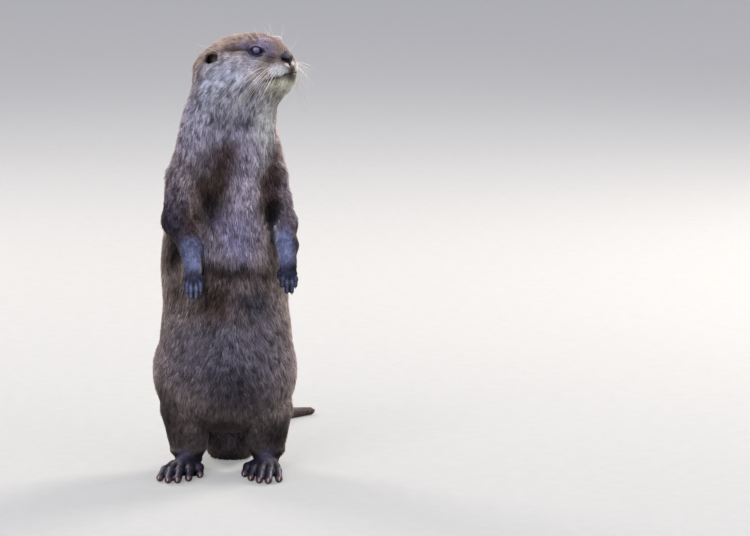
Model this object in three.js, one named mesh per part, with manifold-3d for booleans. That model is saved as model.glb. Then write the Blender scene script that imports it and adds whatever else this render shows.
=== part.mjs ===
// A river otter of the small-clawed kind, life size, standing upright on its hind legs with its
// forelegs hanging over the belly, its head turned to its left and its tail laid on the floor
// behind it.
//
// Millimetres, +Z up, the floor at z = 0. The otter faces -Y, so its left is +X. Places on the
// body are given in this frame; the head and the four feet have frames of their own, in which x
// runs forward, y to the left and z up. The last lines move the whole otter so that the origin is
// the middle of its box, on the floor.
import * as THREE from "three";
import Module from "manifold-3d";

const wasm = await Module();
wasm.setup();

const GAP = 0.3; // kept between two pieces that meet
const LEFT = 1;
const RIGHT = -1;

// Trunk and neck: height, middle across and fore-and-aft, half width, half depth, and the turn to
// the left in degrees.
const TRUNK = [
  [44, 0, 16, 21, 23, 6],
  [52, 0, 14, 45, 39, 6],
  [70, 0, 9, 62, 53, 7],
  [95, 0, 4, 71, 61, 8],
  [120, -0.5, 1, 75, 64, 9],
  [155, -1.3, 0, 75.9, 62, 10],
  [196, -1.5, 0, 72.6, 58, 12],
  [240, -1.9, 1, 73.9, 56, 14],
  [280, -1, 3, 71, 53, 15],
  [315, 1.2, 4, 67.5, 51, 17],
  [345, 1.2, 3, 68.8, 49.5, 20],
  [372, 2.4, 0, 62.7, 49, 26],
  [400, 3.1, -4, 57, 48, 34],
  [423, 7.4, -7, 56.4, 47, 42],
  [442, 11, -9, 53.5, 45.5, 50],
  [458, 11, -9, 47.5, 43.5, 56],
  [470, 10, -9, 40.5, 38.5, 60],
  [480, 14, -10, 24, 24, 60],
];
const TRUNK_RINGS = 18;
const TRUNK_SIDES = 18;
const END_BULGE = 3; // how far the trunk and head swell past their first and last sections
const NECK_BASE = new THREE.Plane(new THREE.Vector3(0, 0.16, 1).normalize(), -364);

// Head: distance ahead of the middle of the skull, half width, height of the widest place, top and bottom.
const HEAD_AT = new THREE.Vector3(27.5, -10, 470);
const HEAD_TURN = 60;
const HEAD_RAISE = 6;
const HEAD = [
  [-57, 14, -13, 0, -25],
  [-51, 32.5, -11, 15.5, -37],
  [-40, 40, -10, 25.3, -46],
  [-25, 43.5, -12, 30.8, -52],
  [-8, 43.5, -13, 33.3, -54],
  [8, 40, -14, 33.6, -53],
  [20, 35, -15, 31.8, -51],
  [30, 29.5, -15, 28.3, -47.5],
  [38, 25.5, -14.5, 24, -41.5],
  [44.5, 23, -13.5, 17.8, -35.5],
  [49, 20.3, -12.5, 10.8, -29.5],
  [52.5, 15.5, -12, 3.5, -24.5],
  [54.8, 7, -11.5, -4, -19],
];
const HEAD_RINGS = 15;
const HEAD_SIDES = 18;
const NECK_TOP = { at: [-28, 0, -22], towards: [0.74, 0, 0.67] };

const EYE = { at: [22.5, 20.5, 13], radius: 7 };
const NOSE = {
  at: [48.8, 0, 2.2],
  size: [6.2, 10, 7.3],
  nostril: [52.6, 6.6, 0.2],
  bore: [3.7, 2.3, 2.3],
  splay: 40,
};
const EAR = {
  at: [-26.5, 36.5, 7],
  size: [9.6, 5.2, 10],
  turn: 24,
  tilt: 20,
  hollow: 0.68,
  hollowAt: [2.2, 3, -1],
};

// Tail: where it runs, with its half width and half height.
const TAIL = [
  [0, 26, 70, 31, 27],
  [0, 40, 40, 32.5, 26],
  [1, 59, 20, 30, 22.5],
  [2, 90, 16.5, 23, 18.8],
  [4, 125, 14.6, 17.5, 15.8],
  [10, 165, 12.6, 14.8, 13.2],
  [21, 205, 10.4, 12, 10.8],
  [38, 243, 8.2, 9.8, 8.8],
  [62, 276, 6.4, 7.6, 7],
  [88, 297, 4.7, 5.2, 5.2],
];
const TAIL_CUTS = [0.4, 0.7];
const TAIL_RINGS = 19;
const TAIL_SIDES = 12;
const TAIL_START = 8; // how far the tail runs on into the rump
const TAIL_TIP = 4.2;

// Limbs as chains of joints, each with the radius there: the forelegs from shoulder to wrist, the
// shanks from knee to ankle.
const FORELEG = {
  [RIGHT]: [
    [-44.5, -17, 340, 23.5],
    [-51.5, -26, 294, 19.5],
    [-38.5, -49, 266, 12.4],
    [-35.5, -62.5, 244, 9.6],
  ],
  [LEFT]: [
    [46, -6, 340, 24],
    [52, -9, 314, 21],
    [60.5, -12, 288, 19],
    [69, -34, 267, 11.8],
    [70.5, -50, 248.5, 9.8],
  ],
};
const HAND = {
  [RIGHT]: { towards: [0.01, -0.17, -1], back: [0.12, -1, 0.17] },
  [LEFT]: { towards: [0.04, -0.17, -1], back: [0.3, -1, 0.17] },
};
const HIND_LEG = {
  [RIGHT]: { hip: [-40.5, 4, 116], shank: [[-45.5, -3, 72, 32], [-45.5, 0, 30, 21.5]] },
  [LEFT]: { hip: [34.5, 4, 116], shank: [[42.5, -3, 72, 33], [44.5, 0, 30, 21.5]] },
};
const THIGH_SIZE = [45, 54, 61];
const LEG_INNER = 10; // no nearer the middle than this
const ANKLE_HEIGHT = 27; // where the shank meets the hind foot
const FOOT = {
  [RIGHT]: { ankle: [-44, 1, 0], turn: -9 },
  [LEFT]: { ankle: [44, 1, 0], turn: -4 },
};

// The hind foot's body in its own frame: the flattened instep, a ridge to each side of it, and the heel.
const INSTEP = [[-9, 0, 11.5, 13.5], [8, 0, 11.5, 14], [34, 0, 11, 12.5]];
const INSTEP_FLAT = 0.92;
const SIDE_RIDGE = [[8, 3, 9.2, 10], [34, 10, 8.4, 9.5]];
const HEEL = [[0, 0, 32, 18], [9, 0, 15, 13]];

// The hand's body: the flattened palm and a ridge to each side of it.
const PALM = [[-2, 0, 0, 9.2], [11, 0, 0.5, 9.2]];
const PALM_FLAT = 0.64;
const PALM_RIDGE = [[3, 3, 0, 5.4], [11, 5, 0, 5]];

// Digits in a foot's own frame, from where they leave the foot over the knuckle to the tip:
// [ahead, outwards, up].
const TOES = [
  [[27, -12.5, 11], [34, -18.5, 10.5], [43, -20.5, 4.2]],
  [[35, -7, 12], [49, -10.5, 11.5], [62, -11.5, 4.2]],
  [[38, 0, 12.5], [58, -1, 12], [73, -1.2, 4.2]],
  [[37, 7, 12], [59, 8.8, 11.5], [75, 9.2, 4.2]],
  [[33, 12.5, 11], [53, 17.5, 10.5], [67, 20.3, 4.2]],
];
const TOE_RADII = [6.2, 5.2, 4.8];
const FINGERS = [
  [[6, -6, -2], [10.5, -8.8, -3.6], [15.5, -9.8, -5]],
  [[12, -6, 0.2], [18.5, -7.9, 1.2], [25, -8, -0.4]],
  [[14, -2.6, 0.8], [23.5, -3, 2], [32, -2.7, 0]],
  [[14, 2.6, 0.8], [23.5, 3, 2], [32, 2.8, 0]],
  [[12, 5.8, 0.2], [18.5, 7.5, 1.2], [25.5, 7.4, -0.4]],
];
const FINGER_RADII = [3.8, 3.4, 3];
const CLAW = { length: 2.6, radii: [1.2, 0.5], raise: 0.75 };

const COAT = { color: 0x6f655f, roughness: 0.85 };
const COLOURS = {
  head: { color: 0x8a8388, roughness: 0.85 },
  neck: { color: 0x8d8a96, roughness: 0.85 },
  trunk: COAT,
  limb: { color: 0x625d63, roughness: 0.8 },
  tail: { color: 0x4f4844, roughness: 0.85 },
  foot: { color: 0x47424d, roughness: 0.6 },
  ear: { color: 0x3f3836, roughness: 0.8 },
  eye: { color: 0x15131a, roughness: 0.08 },
  nose: { color: 0x3c373c, roughness: 0.45 },
  claw: { color: 0x8d6a60, roughness: 0.4 },
};

// ---------------------------------------------------------------- shapes

/** A smooth curve through a table whose first column is the place and whose other columns are values. */
function through(rows) {
  const last = rows.length - 1;
  const slope = (i, c) => {
    const before = rows[Math.max(i - 1, 0)];
    const after = rows[Math.min(i + 1, last)];
    return (after[c] - before[c]) / (after[0] - before[0]);
  };
  return (at) => {
    let i = 0;
    while (i < last - 1 && at > rows[i + 1][0]) i++;
    const [from, to] = [rows[i], rows[i + 1]];
    const step = to[0] - from[0];
    const t = THREE.MathUtils.clamp((at - from[0]) / step, 0, 1);
    const [t2, t3] = [t * t, t * t * t];
    return from.slice(1).map((value, k) => {
      const c = k + 1;
      return (
        (2 * t3 - 3 * t2 + 1) * value +
        (t3 - 2 * t2 + t) * step * slope(i, c) +
        (3 * t2 - 2 * t3) * to[c] +
        (t3 - t2) * step * slope(i + 1, c)
      );
    });
  };
}

/** A solid through closed rings of equally many points. A ring of one point closes that end. */
function loft(rings) {
  const points = rings.flat();
  const triangles = [];
  let first = 0;
  for (let r = 0; r + 1 < rings.length; r++) {
    const [low, high] = [rings[r].length, rings[r + 1].length];
    const next = first + low;
    for (let k = 0; k < Math.max(low, high); k++) {
      const [a, b] = [first + (k % low), first + ((k + 1) % low)];
      const [c, d] = [next + (k % high), next + ((k + 1) % high)];
      if (a !== b) triangles.push(a, b, c);
      if (c !== d) triangles.push(b, d, c);
    }
    first = next;
  }
  return solidOf(new Float32Array(points.flatMap((p) => p.toArray())), new Uint32Array(triangles));
}

/** A solid from vertices and triangles, turned right side out where it is wound inwards. */
function solidOf(vertProperties, triVerts) {
  const made = new wasm.Manifold(new wasm.Mesh({ numProp: 3, vertProperties, triVerts }));
  if (made.volume() >= 0) return made;
  for (let i = 0; i < triVerts.length; i += 3) {
    [triVerts[i], triVerts[i + 1]] = [triVerts[i + 1], triVerts[i]];
  }
  return new wasm.Manifold(new wasm.Mesh({ numProp: 3, vertProperties, triVerts }));
}

/**
 * A limb: a tube with round ends through joints, each [x, y, z, radius]. steps rings lie between
 * two joints and caps rings in each end; up points to its top, grow thickens it all round, and
 * flat is its height over its width.
 */
function limb(joints, { sides = 7, steps = 1, caps = 2, up = [0, 0, 1], grow = 0, flat = 1 } = {}) {
  const places = joints.map(([x, y, z]) => new THREE.Vector3(x, y, z));
  const radii = joints.map((joint) => joint[3] + grow);
  const past = (end, next, reach) => end.clone().sub(next).setLength(reach).add(end);
  const curve = new THREE.CatmullRomCurve3(
    [past(places[0], places[1], radii[0]), ...places, past(places.at(-1), places.at(-2), radii.at(-1))],
    false,
    "chordal",
  );
  const spans = joints.length + 1;
  const quarter = (i) => (Math.PI / 2) * (i / caps);
  const stops = [];
  for (let i = 1; i < caps; i++) stops.push([1 - Math.cos(quarter(i)), radii[0] * Math.sin(quarter(i))]);
  for (let j = 0; j + 1 < joints.length; j++)
    for (let i = 0; i < steps; i++)
      stops.push([j + 1 + i / steps, THREE.MathUtils.lerp(radii[j], radii[j + 1], i / steps)]);
  for (let i = caps; i > 0; i--) {
    stops.push([spans - 1 + Math.cos(quarter(i)), radii.at(-1) * Math.sin(quarter(i))]);
  }
  const rings = stops.map(([span, radius]) =>
    ringAround(
      curve.getPoint(span / spans),
      curve.getTangent(span / spans),
      radius,
      radius * flat,
      up,
      sides,
    ),
  );
  return loft([[curve.getPoint(0)], ...rings, [curve.getPoint(1)]]);
}

/** A ring of points around a tangent, wide across it and high towards up. */
function ringAround(middle, tangent, wide, high, up, sides) {
  const across = tangent.clone().cross(new THREE.Vector3(...up)).normalize();
  const over = across.clone().cross(tangent);
  return Array.from({ length: sides }, (_, k) => {
    const angle = (2 * Math.PI * k) / sides;
    return middle
      .clone()
      .addScaledVector(across, wide * Math.cos(angle))
      .addScaledVector(over, high * Math.sin(angle));
  });
}

/** An ellipsoid of these half sizes. */
function egg(size, { across = 10, down = 7 } = {}) {
  const rings = Array.from({ length: down + 1 }, (_, i) => {
    const polar = (Math.PI * i) / down;
    const ring = (k) => {
      const angle = (2 * Math.PI * k) / across;
      const [x, y] = [Math.sin(polar) * Math.cos(angle), Math.sin(polar) * Math.sin(angle)];
      const z = Math.cos(polar);
      return new THREE.Vector3(x * size[0], y * size[1], z * size[2]);
    };
    return i % down ? Array.from({ length: across }, (_, k) => ring(k)) : [ring(0)];
  });
  return loft(rings);
}

const united = (solids) => solids.reduce((all, solid) => all.add(solid));
const without = (solid, others) => others.reduce((left, other) => left.subtract(other), solid);
const placed = (solid, matrix) => solid.transform(matrix.elements);

/** The part of a solid on the side that a plane faces, short of it by half the gap. */
const beyond = (solid, plane) => solid.trimByPlane(plane.normal.toArray(), -plane.constant + GAP / 2);
const before = (solid, plane) => beyond(solid, plane.clone().negate());

// ---------------------------------------------------------------- frames

const degrees = THREE.MathUtils.degToRad;

/** The head's frame: x ahead, y to the otter's left, z up. */
const headFrame = new THREE.Matrix4()
  .makeRotationZ(degrees(HEAD_TURN - 90))
  .multiply(new THREE.Matrix4().makeRotationY(-degrees(HEAD_RAISE)))
  .setPosition(HEAD_AT);

/** A frame whose x points towards, with z as near as may be to up. */
function frameTowards(at, towards, up) {
  const x = new THREE.Vector3(...towards).normalize();
  const y = new THREE.Vector3(...up).cross(x).normalize();
  return new THREE.Matrix4().makeBasis(x, y, new THREE.Vector3().crossVectors(x, y)).setPosition(...at);
}

/** A point of the head, mirrored to one side of it. */
const onSide = ([x, y, z], side) => [x, y * side, z];

// ---------------------------------------------------------------- trunk, neck and head

function trunkAndNeck() {
  const section = through(TRUNK);
  const [bottom, top] = [TRUNK[0][0], TRUNK.at(-1)[0]];
  const rings = [];
  for (let i = 0; i <= TRUNK_RINGS; i++) {
    const height = THREE.MathUtils.lerp(bottom, top, i / TRUNK_RINGS);
    const [x, y, wide, deep, turn] = section(height);
    const spin = degrees(turn);
    rings.push(
      Array.from({ length: TRUNK_SIDES }, (_, k) => {
        const angle = (2 * Math.PI * k) / TRUNK_SIDES;
        const [across, along] = [wide * Math.cos(angle), deep * Math.sin(angle)];
        return new THREE.Vector3(
          x + across * Math.cos(spin) - along * Math.sin(spin),
          y + across * Math.sin(spin) + along * Math.cos(spin),
          height,
        );
      }),
    );
  }
  const pole = (height, past) => [new THREE.Vector3(...section(height).slice(0, 2), height + past)];
  return loft([pole(bottom, -END_BULGE), ...rings, pole(top, END_BULGE)]);
}

function headForm() {
  const section = through(HEAD);
  const [back, front] = [HEAD[0][0], HEAD.at(-1)[0]];
  const rings = [];
  for (let i = 0; i <= HEAD_RINGS; i++) {
    const ahead = THREE.MathUtils.lerp(back, front, i / HEAD_RINGS);
    const [wide, middle, top, bottom] = section(ahead);
    rings.push(
      Array.from({ length: HEAD_SIDES }, (_, k) => {
        const angle = (2 * Math.PI * k) / HEAD_SIDES;
        const reach = Math.sin(angle) > 0 ? top - middle : middle - bottom;
        return new THREE.Vector3(ahead, wide * Math.cos(angle), middle + reach * Math.sin(angle));
      }),
    );
  }
  const pole = (ahead, past) => [new THREE.Vector3(ahead + past, 0, section(ahead)[1])];
  return placed(loft([pole(back, -END_BULGE), ...rings, pole(front, END_BULGE / 3)]), headFrame);
}

/** The nose leather, with a nostril bored into each side. */
function nosePad(grow = 0) {
  const pad = egg(NOSE.size.map((s) => s + grow)).translate(NOSE.at);
  const nostrils = [LEFT, RIGHT].map((side) =>
    egg(NOSE.bore, { across: 7, down: 5 })
      .rotate([0, 0, NOSE.splay * side])
      .translate(onSide(NOSE.nostril, side)),
  );
  return placed(grow ? pad : without(pad, nostrils), headFrame);
}

/** A small round ear cup, open forwards and outwards. */
function ear(side, grow = 0) {
  const cup = egg(EAR.size.map((s) => s + grow));
  const hollow = egg(EAR.size.map((s) => s * EAR.hollow)).translate(onSide(EAR.hollowAt, side));
  const turned = (grow ? cup : cup.subtract(hollow)).rotate([-EAR.tilt * side, 0, -EAR.turn * side]);
  return placed(turned.translate(onSide(EAR.at, side)), headFrame);
}

const eyePlace = (side) => new THREE.Vector3(...onSide(EYE.at, side)).applyMatrix4(headFrame);
const eyeball = (grow = 0) => egg([1, 1, 1].map(() => EYE.radius + grow));

// ---------------------------------------------------------------- limbs and tail

const foreleg = (side, grow = 0) => limb(FORELEG[side], { grow, sides: 12, steps: 2, up: [1, 0, 0] });

function hindLeg(side, grow = 0) {
  const { hip, shank } = HIND_LEG[side];
  const thigh = egg(
    THIGH_SIZE.map((s) => s + grow),
    { across: 14, down: 9 },
  ).translate(hip);
  const leg = thigh.add(limb(shank, { grow, sides: 12, steps: 2, up: [1, 0, 0] }));
  return leg.trimByPlane([side, 0, 0], LEG_INNER - grow);
}

/** The joints of a ridge, on the other side of a foot. */
const mirrored = (joints) => joints.map(([x, y, z, radius]) => [x, -y, z, radius]);

/** The joints of a digit with its radii, outwards turned to the otter's own side. */
const digit = (joints, radii, side) =>
  joints.map(([ahead, out, up], i) => [ahead, out * side, up, radii[i]]);

function hindFootFrame(side) {
  const { ankle, turn } = FOOT[side];
  return new THREE.Matrix4().makeRotationZ(degrees(turn - 90)).setPosition(...ankle);
}

/** The sole and instep with five arched toes, cut flat where they stand on the floor. */
function hindFoot(side) {
  const instep = [
    limb(INSTEP, { sides: 12, flat: INSTEP_FLAT }),
    limb(mirrored(SIDE_RIDGE)),
    limb(SIDE_RIDGE),
    limb(HEEL, { sides: 12, up: [1, 0, 0] }),
  ];
  const toes = TOES.map((toe) => limb(digit(toe, TOE_RADII, side)));
  return placed(united([...instep, ...toes]), hindFootFrame(side)).trimByPlane([0, 0, 1], 0);
}

function handFrame(side) {
  const { towards, back } = HAND[side];
  return frameTowards(FORELEG[side].at(-1).slice(0, 3), towards, back);
}

/** The palm with five fingers hanging from the wrist. */
function hand(side) {
  const palm = [
    limb(PALM, { sides: 10, flat: PALM_FLAT }),
    limb(mirrored(PALM_RIDGE)),
    limb(PALM_RIDGE),
  ];
  const fingers = FINGERS.map((finger) => limb(digit(finger, FINGER_RADII, side), { sides: 6 }));
  return placed(united([...palm, ...fingers]), handFrame(side));
}

/** The tail as one solid, flat where it lies on the floor, and the planes that part it into lengths. */
function tail() {
  const last = TAIL.length - 1;
  const spine = new THREE.CatmullRomCurve3(TAIL.map(([x, y, z]) => new THREE.Vector3(x, y, z)));
  const size = through(TAIL.map(([, , , wide, high], i) => [i / last, wide, high]));
  const rings = [];
  for (let i = 0; i <= TAIL_RINGS; i++) {
    const at = i / TAIL_RINGS;
    rings.push(ringAround(spine.getPoint(at), spine.getTangent(at), ...size(at), [0, 0, 1], TAIL_SIDES));
  }
  const pole = (at, reach) => [spine.getPoint(at).addScaledVector(spine.getTangent(at), reach)];
  const whole = loft([pole(0, -TAIL_START), ...rings, pole(1, TAIL_TIP)]);
  const cuts = TAIL_CUTS.map((share) =>
    new THREE.Plane().setFromNormalAndCoplanarPoint(spine.getTangent(share), spine.getPoint(share)),
  );
  return { whole: whole.trimByPlane([0, 0, 1], 0), cuts };
}

// ---------------------------------------------------------------- the otter

const otter = new THREE.Group();

/** Adds a solid as a named mesh. */
function add(name, solid, look) {
  const { numProp, numVert, vertProperties, triVerts } = solid.getMesh();
  const positions = new Float32Array(numVert * 3);
  for (let i = 0; i < numVert; i++) {
    positions.set(vertProperties.subarray(i * numProp, i * numProp + 3), i * 3);
  }
  const geometry = new THREE.BufferGeometry()
    .setAttribute("position", new THREE.BufferAttribute(positions, 3))
    .setIndex(new THREE.BufferAttribute(triVerts, 1));
  geometry.computeVertexNormals();
  const mesh = new THREE.Mesh(geometry, new THREE.MeshStandardMaterial({ metalness: 0, ...look }));
  mesh.name = name;
  otter.add(mesh);
  return mesh;
}

const sides = { right: RIGHT, left: LEFT };

/** A claw standing off a digit's tip on its upper side, pointing on along the digit. */
function claw([, knuckle, tip], frame) {
  const at = new THREE.Vector3(...tip);
  const along = at.clone().sub(new THREE.Vector3(...knuckle)).normalize();
  const raised = along.clone().add(new THREE.Vector3(0, 0, CLAW.raise)).normalize();
  const root = at.addScaledVector(raised, tip[3] + CLAW.radii[0] + GAP);
  const end = root.clone().addScaledVector(along, CLAW.length);
  const joints = [root, end].map((place, i) => [...place, CLAW.radii[i]]);
  return placed(limb(joints, { sides: 5, caps: 1 }), frame);
}

const legs = {};
const hindLegRoom = [];
const forelegRoom = [];
for (const [name, side] of Object.entries(sides)) {
  legs[name] = { foreleg: foreleg(side), hindLeg: hindLeg(side), hand: hand(side), foot: hindFoot(side) };
  forelegRoom.push(foreleg(side, GAP));
  hindLegRoom.push(hindLeg(side, GAP));
}

const { whole: tailWhole, cuts: tailCuts } = tail();
const neckTop = new THREE.Plane().setFromNormalAndCoplanarPoint(
  new THREE.Vector3(...NECK_TOP.towards).normalize(),
  new THREE.Vector3(...NECK_TOP.at),
);
neckTop.applyMatrix4(headFrame);

const core = trunkAndNeck().add(headForm());
const faceRoom = [
  nosePad(GAP),
  ...Object.values(sides).flatMap((side) => [
    ear(side, GAP),
    eyeball(GAP).translate(eyePlace(side).toArray()),
  ]),
];
const head = without(beyond(core, neckTop), faceRoom);
const neck = without(beyond(before(core, neckTop), NECK_BASE), forelegRoom);
const trunk = without(before(core, NECK_BASE), [...forelegRoom, ...hindLegRoom]);

add("head", head, COLOURS.head);
add("neck", neck, COLOURS.neck);
add("trunk", trunk, COLOURS.trunk);
add("nose", nosePad(), COLOURS.nose);

for (const [name, side] of Object.entries(sides)) {
  const { foreleg: arm, hindLeg: leg, hand: palm, foot } = legs[name];
  const wristPlane = new THREE.Plane(new THREE.Vector3(1, 0, 0), 0).applyMatrix4(handFrame(side));
  const anklePlane = new THREE.Plane(new THREE.Vector3(0, 0, -1), ANKLE_HEIGHT);
  const eye = add("eye_" + name, eyeball(), COLOURS.eye);
  eye.position.copy(eyePlace(side));
  add("ear_" + name, ear(side), COLOURS.ear);

  const fingerClaws = FINGERS.map((finger) => [digit(finger, FINGER_RADII, side), handFrame(side)]);
  const toeClaws = TOES.map((toe) => [digit(toe, TOE_RADII, side), hindFootFrame(side)]);
  add("foreleg_" + name, before(arm, wristPlane), COLOURS.limb);
  add("forefoot_" + name, beyond(palm, wristPlane), COLOURS.foot);
  add("hindleg_" + name, before(leg, anklePlane), COLOURS.limb);
  add("hindfoot_" + name, beyond(foot, anklePlane), COLOURS.foot);
  fingerClaws.forEach((one, i) => add(`claw_fore_${name}_${i + 1}`, claw(...one), COLOURS.claw));
  toeClaws.forEach((one, i) => add(`claw_hind_${name}_${i + 1}`, claw(...one), COLOURS.claw));
}

const tailFree = without(tailWhole, [core, ...hindLegRoom]);
const [firstCut, secondCut] = tailCuts;
add("tail_root", before(tailFree, firstCut), COLOURS.tail);
add("tail_middle", before(beyond(tailFree, firstCut), secondCut), COLOURS.tail);
add("tail_tip", beyond(tailFree, secondCut), COLOURS.tail);

const box = new THREE.Box3().setFromObject(otter);
const middle = box.getCenter(new THREE.Vector3());
otter.position.set(-middle.x, -middle.y, -box.min.z);

export default otter;
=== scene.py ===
"""A small-clawed otter, life size, standing upright on its hind legs: its skin, coat, eyes, nose, claws and whiskers.

The shapes are worked out in millimetres in the otter's own frame: +Z up, the floor at z = 0, the otter facing -Y
with its left at +X. The head has a frame of its own, in which x runs forward, y to the otter's left and z up.
The skin is one closed surface, meshed from a field that gives each point's depth under the outline of the coat.
The coat is thousands of small pointed locks rooted in that skin, each lying along the body.
"""

from __future__ import annotations

import itertools
import logging
import math
from dataclasses import dataclass, field, fields
from enum import Enum
from typing import Callable, Sequence

import bpy
import numpy as np
import openvdb
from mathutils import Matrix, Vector

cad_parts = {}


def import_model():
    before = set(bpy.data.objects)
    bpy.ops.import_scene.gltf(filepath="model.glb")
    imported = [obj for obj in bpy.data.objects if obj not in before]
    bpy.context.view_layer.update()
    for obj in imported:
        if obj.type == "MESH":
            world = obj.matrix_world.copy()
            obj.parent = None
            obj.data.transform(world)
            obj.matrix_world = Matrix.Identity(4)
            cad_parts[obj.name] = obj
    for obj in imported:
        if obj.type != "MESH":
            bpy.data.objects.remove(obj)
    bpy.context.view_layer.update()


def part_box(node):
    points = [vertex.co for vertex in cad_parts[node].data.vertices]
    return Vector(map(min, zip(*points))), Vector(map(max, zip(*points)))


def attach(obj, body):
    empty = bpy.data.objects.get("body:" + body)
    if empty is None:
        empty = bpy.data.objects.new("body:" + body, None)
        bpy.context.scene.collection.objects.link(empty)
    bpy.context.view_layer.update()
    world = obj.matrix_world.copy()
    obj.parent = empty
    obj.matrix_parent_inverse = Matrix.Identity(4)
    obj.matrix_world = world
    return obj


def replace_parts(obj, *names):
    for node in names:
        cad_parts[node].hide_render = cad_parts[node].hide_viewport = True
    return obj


LOG = logging.getLogger("otter")
MM = 0.001
BODY = "root"
LEFT = 1.0
RIGHT = -1.0
SIDES = {"right": RIGHT, "left": LEFT}
FAR = 60.0  # the distance given where a shape is not worked out
TINY = 1e-6

Shape = Callable[[np.ndarray], np.ndarray]
Row = tuple[float, ...]
Pair = tuple[np.ndarray, np.ndarray]


# ---------------------------------------------------------------- sizes of the outline, as the solids have them

TRUNK: tuple[Row, ...] = (
    # height, middle in x and y, half width, half depth, turn in degrees
    (44, 0, 16, 21, 23, 6),
    (52, 0, 14, 45, 39, 6),
    (70, 0, 9, 62, 53, 7),
    (95, 0, 4, 71, 61, 8),
    (120, -0.5, 1, 75, 64, 9),
    (155, -1.3, 0, 75.9, 62, 10),
    (196, -1.5, 0, 72.6, 58, 12),
    (240, -1.9, 1, 73.9, 56, 14),
    (280, -1, 3, 71, 53, 15),
    (315, 1.2, 4, 67.5, 51, 17),
    (345, 1.2, 3, 68.8, 49.5, 20),
    (372, 2.4, 0, 62.7, 49, 26),
    (400, 3.1, -4, 57, 48, 34),
    (423, 7.4, -7, 56.4, 47, 42),
    (442, 11, -9, 53.5, 45.5, 50),
    (458, 11, -9, 47.5, 43.5, 56),
    (470, 10, -9, 40.5, 38.5, 60),
    (480, 14, -10, 24, 24, 60),
)
HEAD: tuple[Row, ...] = (
    # place along the head, half width, and the heights of its middle, top and bottom
    (-57, 14, -13, 0, -25),
    (-51, 32.5, -11, 15.5, -37),
    (-40, 40, -10, 25.3, -46),
    (-25, 43.5, -12, 30.8, -52),
    (-8, 43.5, -13, 33.3, -54),
    (8, 40, -14, 33.6, -53),
    (20, 35, -15, 31.8, -51),
    (30, 29.5, -15, 28.3, -47.5),
    (38, 25.5, -14.5, 24, -41.5),
    (44.5, 23, -13.5, 17.8, -35.5),
    (49, 20.3, -12.5, 10.8, -29.5),
    (52.5, 15.5, -12, 3.5, -24.5),
    (54.8, 7, -11.5, -4, -19),
)
TAIL: tuple[Row, ...] = (
    # place and radius
    (0, 26, 70, 27),
    (0, 40, 40, 26),
    (1, 59, 20.5, 23.5),
    (2, 90, 17, 19.8),
    (4, 125, 15, 16.5),
    (10, 165, 12.8, 13.9),
    (21, 205, 10.5, 11.4),
    (38, 243, 8.3, 9.3),
    (62, 276, 6.4, 7.3),
    (88, 297, 4.7, 5.2),
)


# ---------------------------------------------------------------- numbers on arrays of points


def unit(vectors: np.ndarray) -> np.ndarray:
    """The same directions, one long."""
    return vectors / np.maximum(np.linalg.norm(vectors, axis=-1, keepdims=True), 1e-9)


def lengths(vectors: np.ndarray) -> np.ndarray:
    """How long each vector is."""
    return np.linalg.norm(vectors, axis=1)


def folded(points: np.ndarray) -> np.ndarray:
    """Points of the head's frame, all brought to its left side."""
    return np.stack([points[:, 0], np.abs(points[:, 1]), points[:, 2]], 1)


def ramp(low: float, high: float, value: np.ndarray) -> np.ndarray:
    """A smooth step from 0 at low to 1 at high."""
    t = np.clip((value - low) / (high - low), 0, 1)
    return t * t * (3 - 2 * t)


def swell(gap: np.ndarray, width: float) -> np.ndarray:
    """1 where the gap is nothing, fading out about twice the width away."""
    return np.exp(-((gap / width) ** 2))


def through(rows: Sequence[Row], at: np.ndarray) -> list[np.ndarray]:
    """Reads a smooth curve through a table.

    Args:
        rows: The table, whose first column is the place and whose other columns are values.
        at: The places to read.

    Returns:
        One array for each value column.
    """
    table = np.array(rows, float)
    place = table[:, 0]
    slopes = np.gradient(table[:, 1:], axis=0) / np.gradient(place)[:, None]
    i = np.clip(np.searchsorted(place, at) - 1, 0, len(place) - 2)
    step = place[i + 1] - place[i]
    t = np.clip((at - place[i]) / step, 0, 1)
    t2, t3 = t * t, t * t * t
    near, far = 2 * t3 - 3 * t2 + 1, 3 * t2 - 2 * t3
    leave, arrive = (t3 - 2 * t2 + t) * step, (t3 - t2) * step
    return [
        near * table[i, c] + leave * slopes[i, c - 1] + far * table[i + 1, c] + arrive * slopes[i + 1, c - 1]
        for c in range(1, table.shape[1])
    ]


def lattice(i: np.ndarray, j: np.ndarray, k: np.ndarray, seed: int) -> np.ndarray:
    """A fixed random number from -1 to 1 for each whole place."""
    h = (i * 374761393 + j * 668265263 + k * 974634777 + seed * 1274126177) & 0xFFFFFFFF
    h = ((h ^ (h >> 13)) * 1274126177) & 0xFFFFFFFF
    return ((h ^ (h >> 16)) & 0xFFFF) / 32767.5 - 1


def noise(points: np.ndarray, scale: float, seed: int) -> np.ndarray:
    """Smooth noise from -1 to 1 whose lumps are about scale across."""
    q = points / scale
    base = np.floor(q).astype(np.int64)
    f = q - base
    f = f * f * (3 - 2 * f)
    total = np.zeros(len(points))
    for corner in itertools.product((0, 1), repeat=3):
        share = np.where(corner, f, 1 - f)
        total += share[:, 0] * share[:, 1] * share[:, 2] * lattice(*(base + corner).T, seed)
    return total


def wander(points: np.ndarray, scale: float, seed: int) -> np.ndarray:
    """Smooth noise along x, y and z, from three seeds in turn."""
    return np.stack([noise(points, scale, seed + axis) for axis in range(3)], 1)


def linear(colour: Sequence[float]) -> np.ndarray:
    """A colour given in 0 to 255 as displayed, in linear light."""
    c = np.array(colour, float) / 255
    return np.where(c <= 0.04045, c / 12.92, ((c + 0.055) / 1.055) ** 2.4)


# ---------------------------------------------------------------- frames


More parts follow.
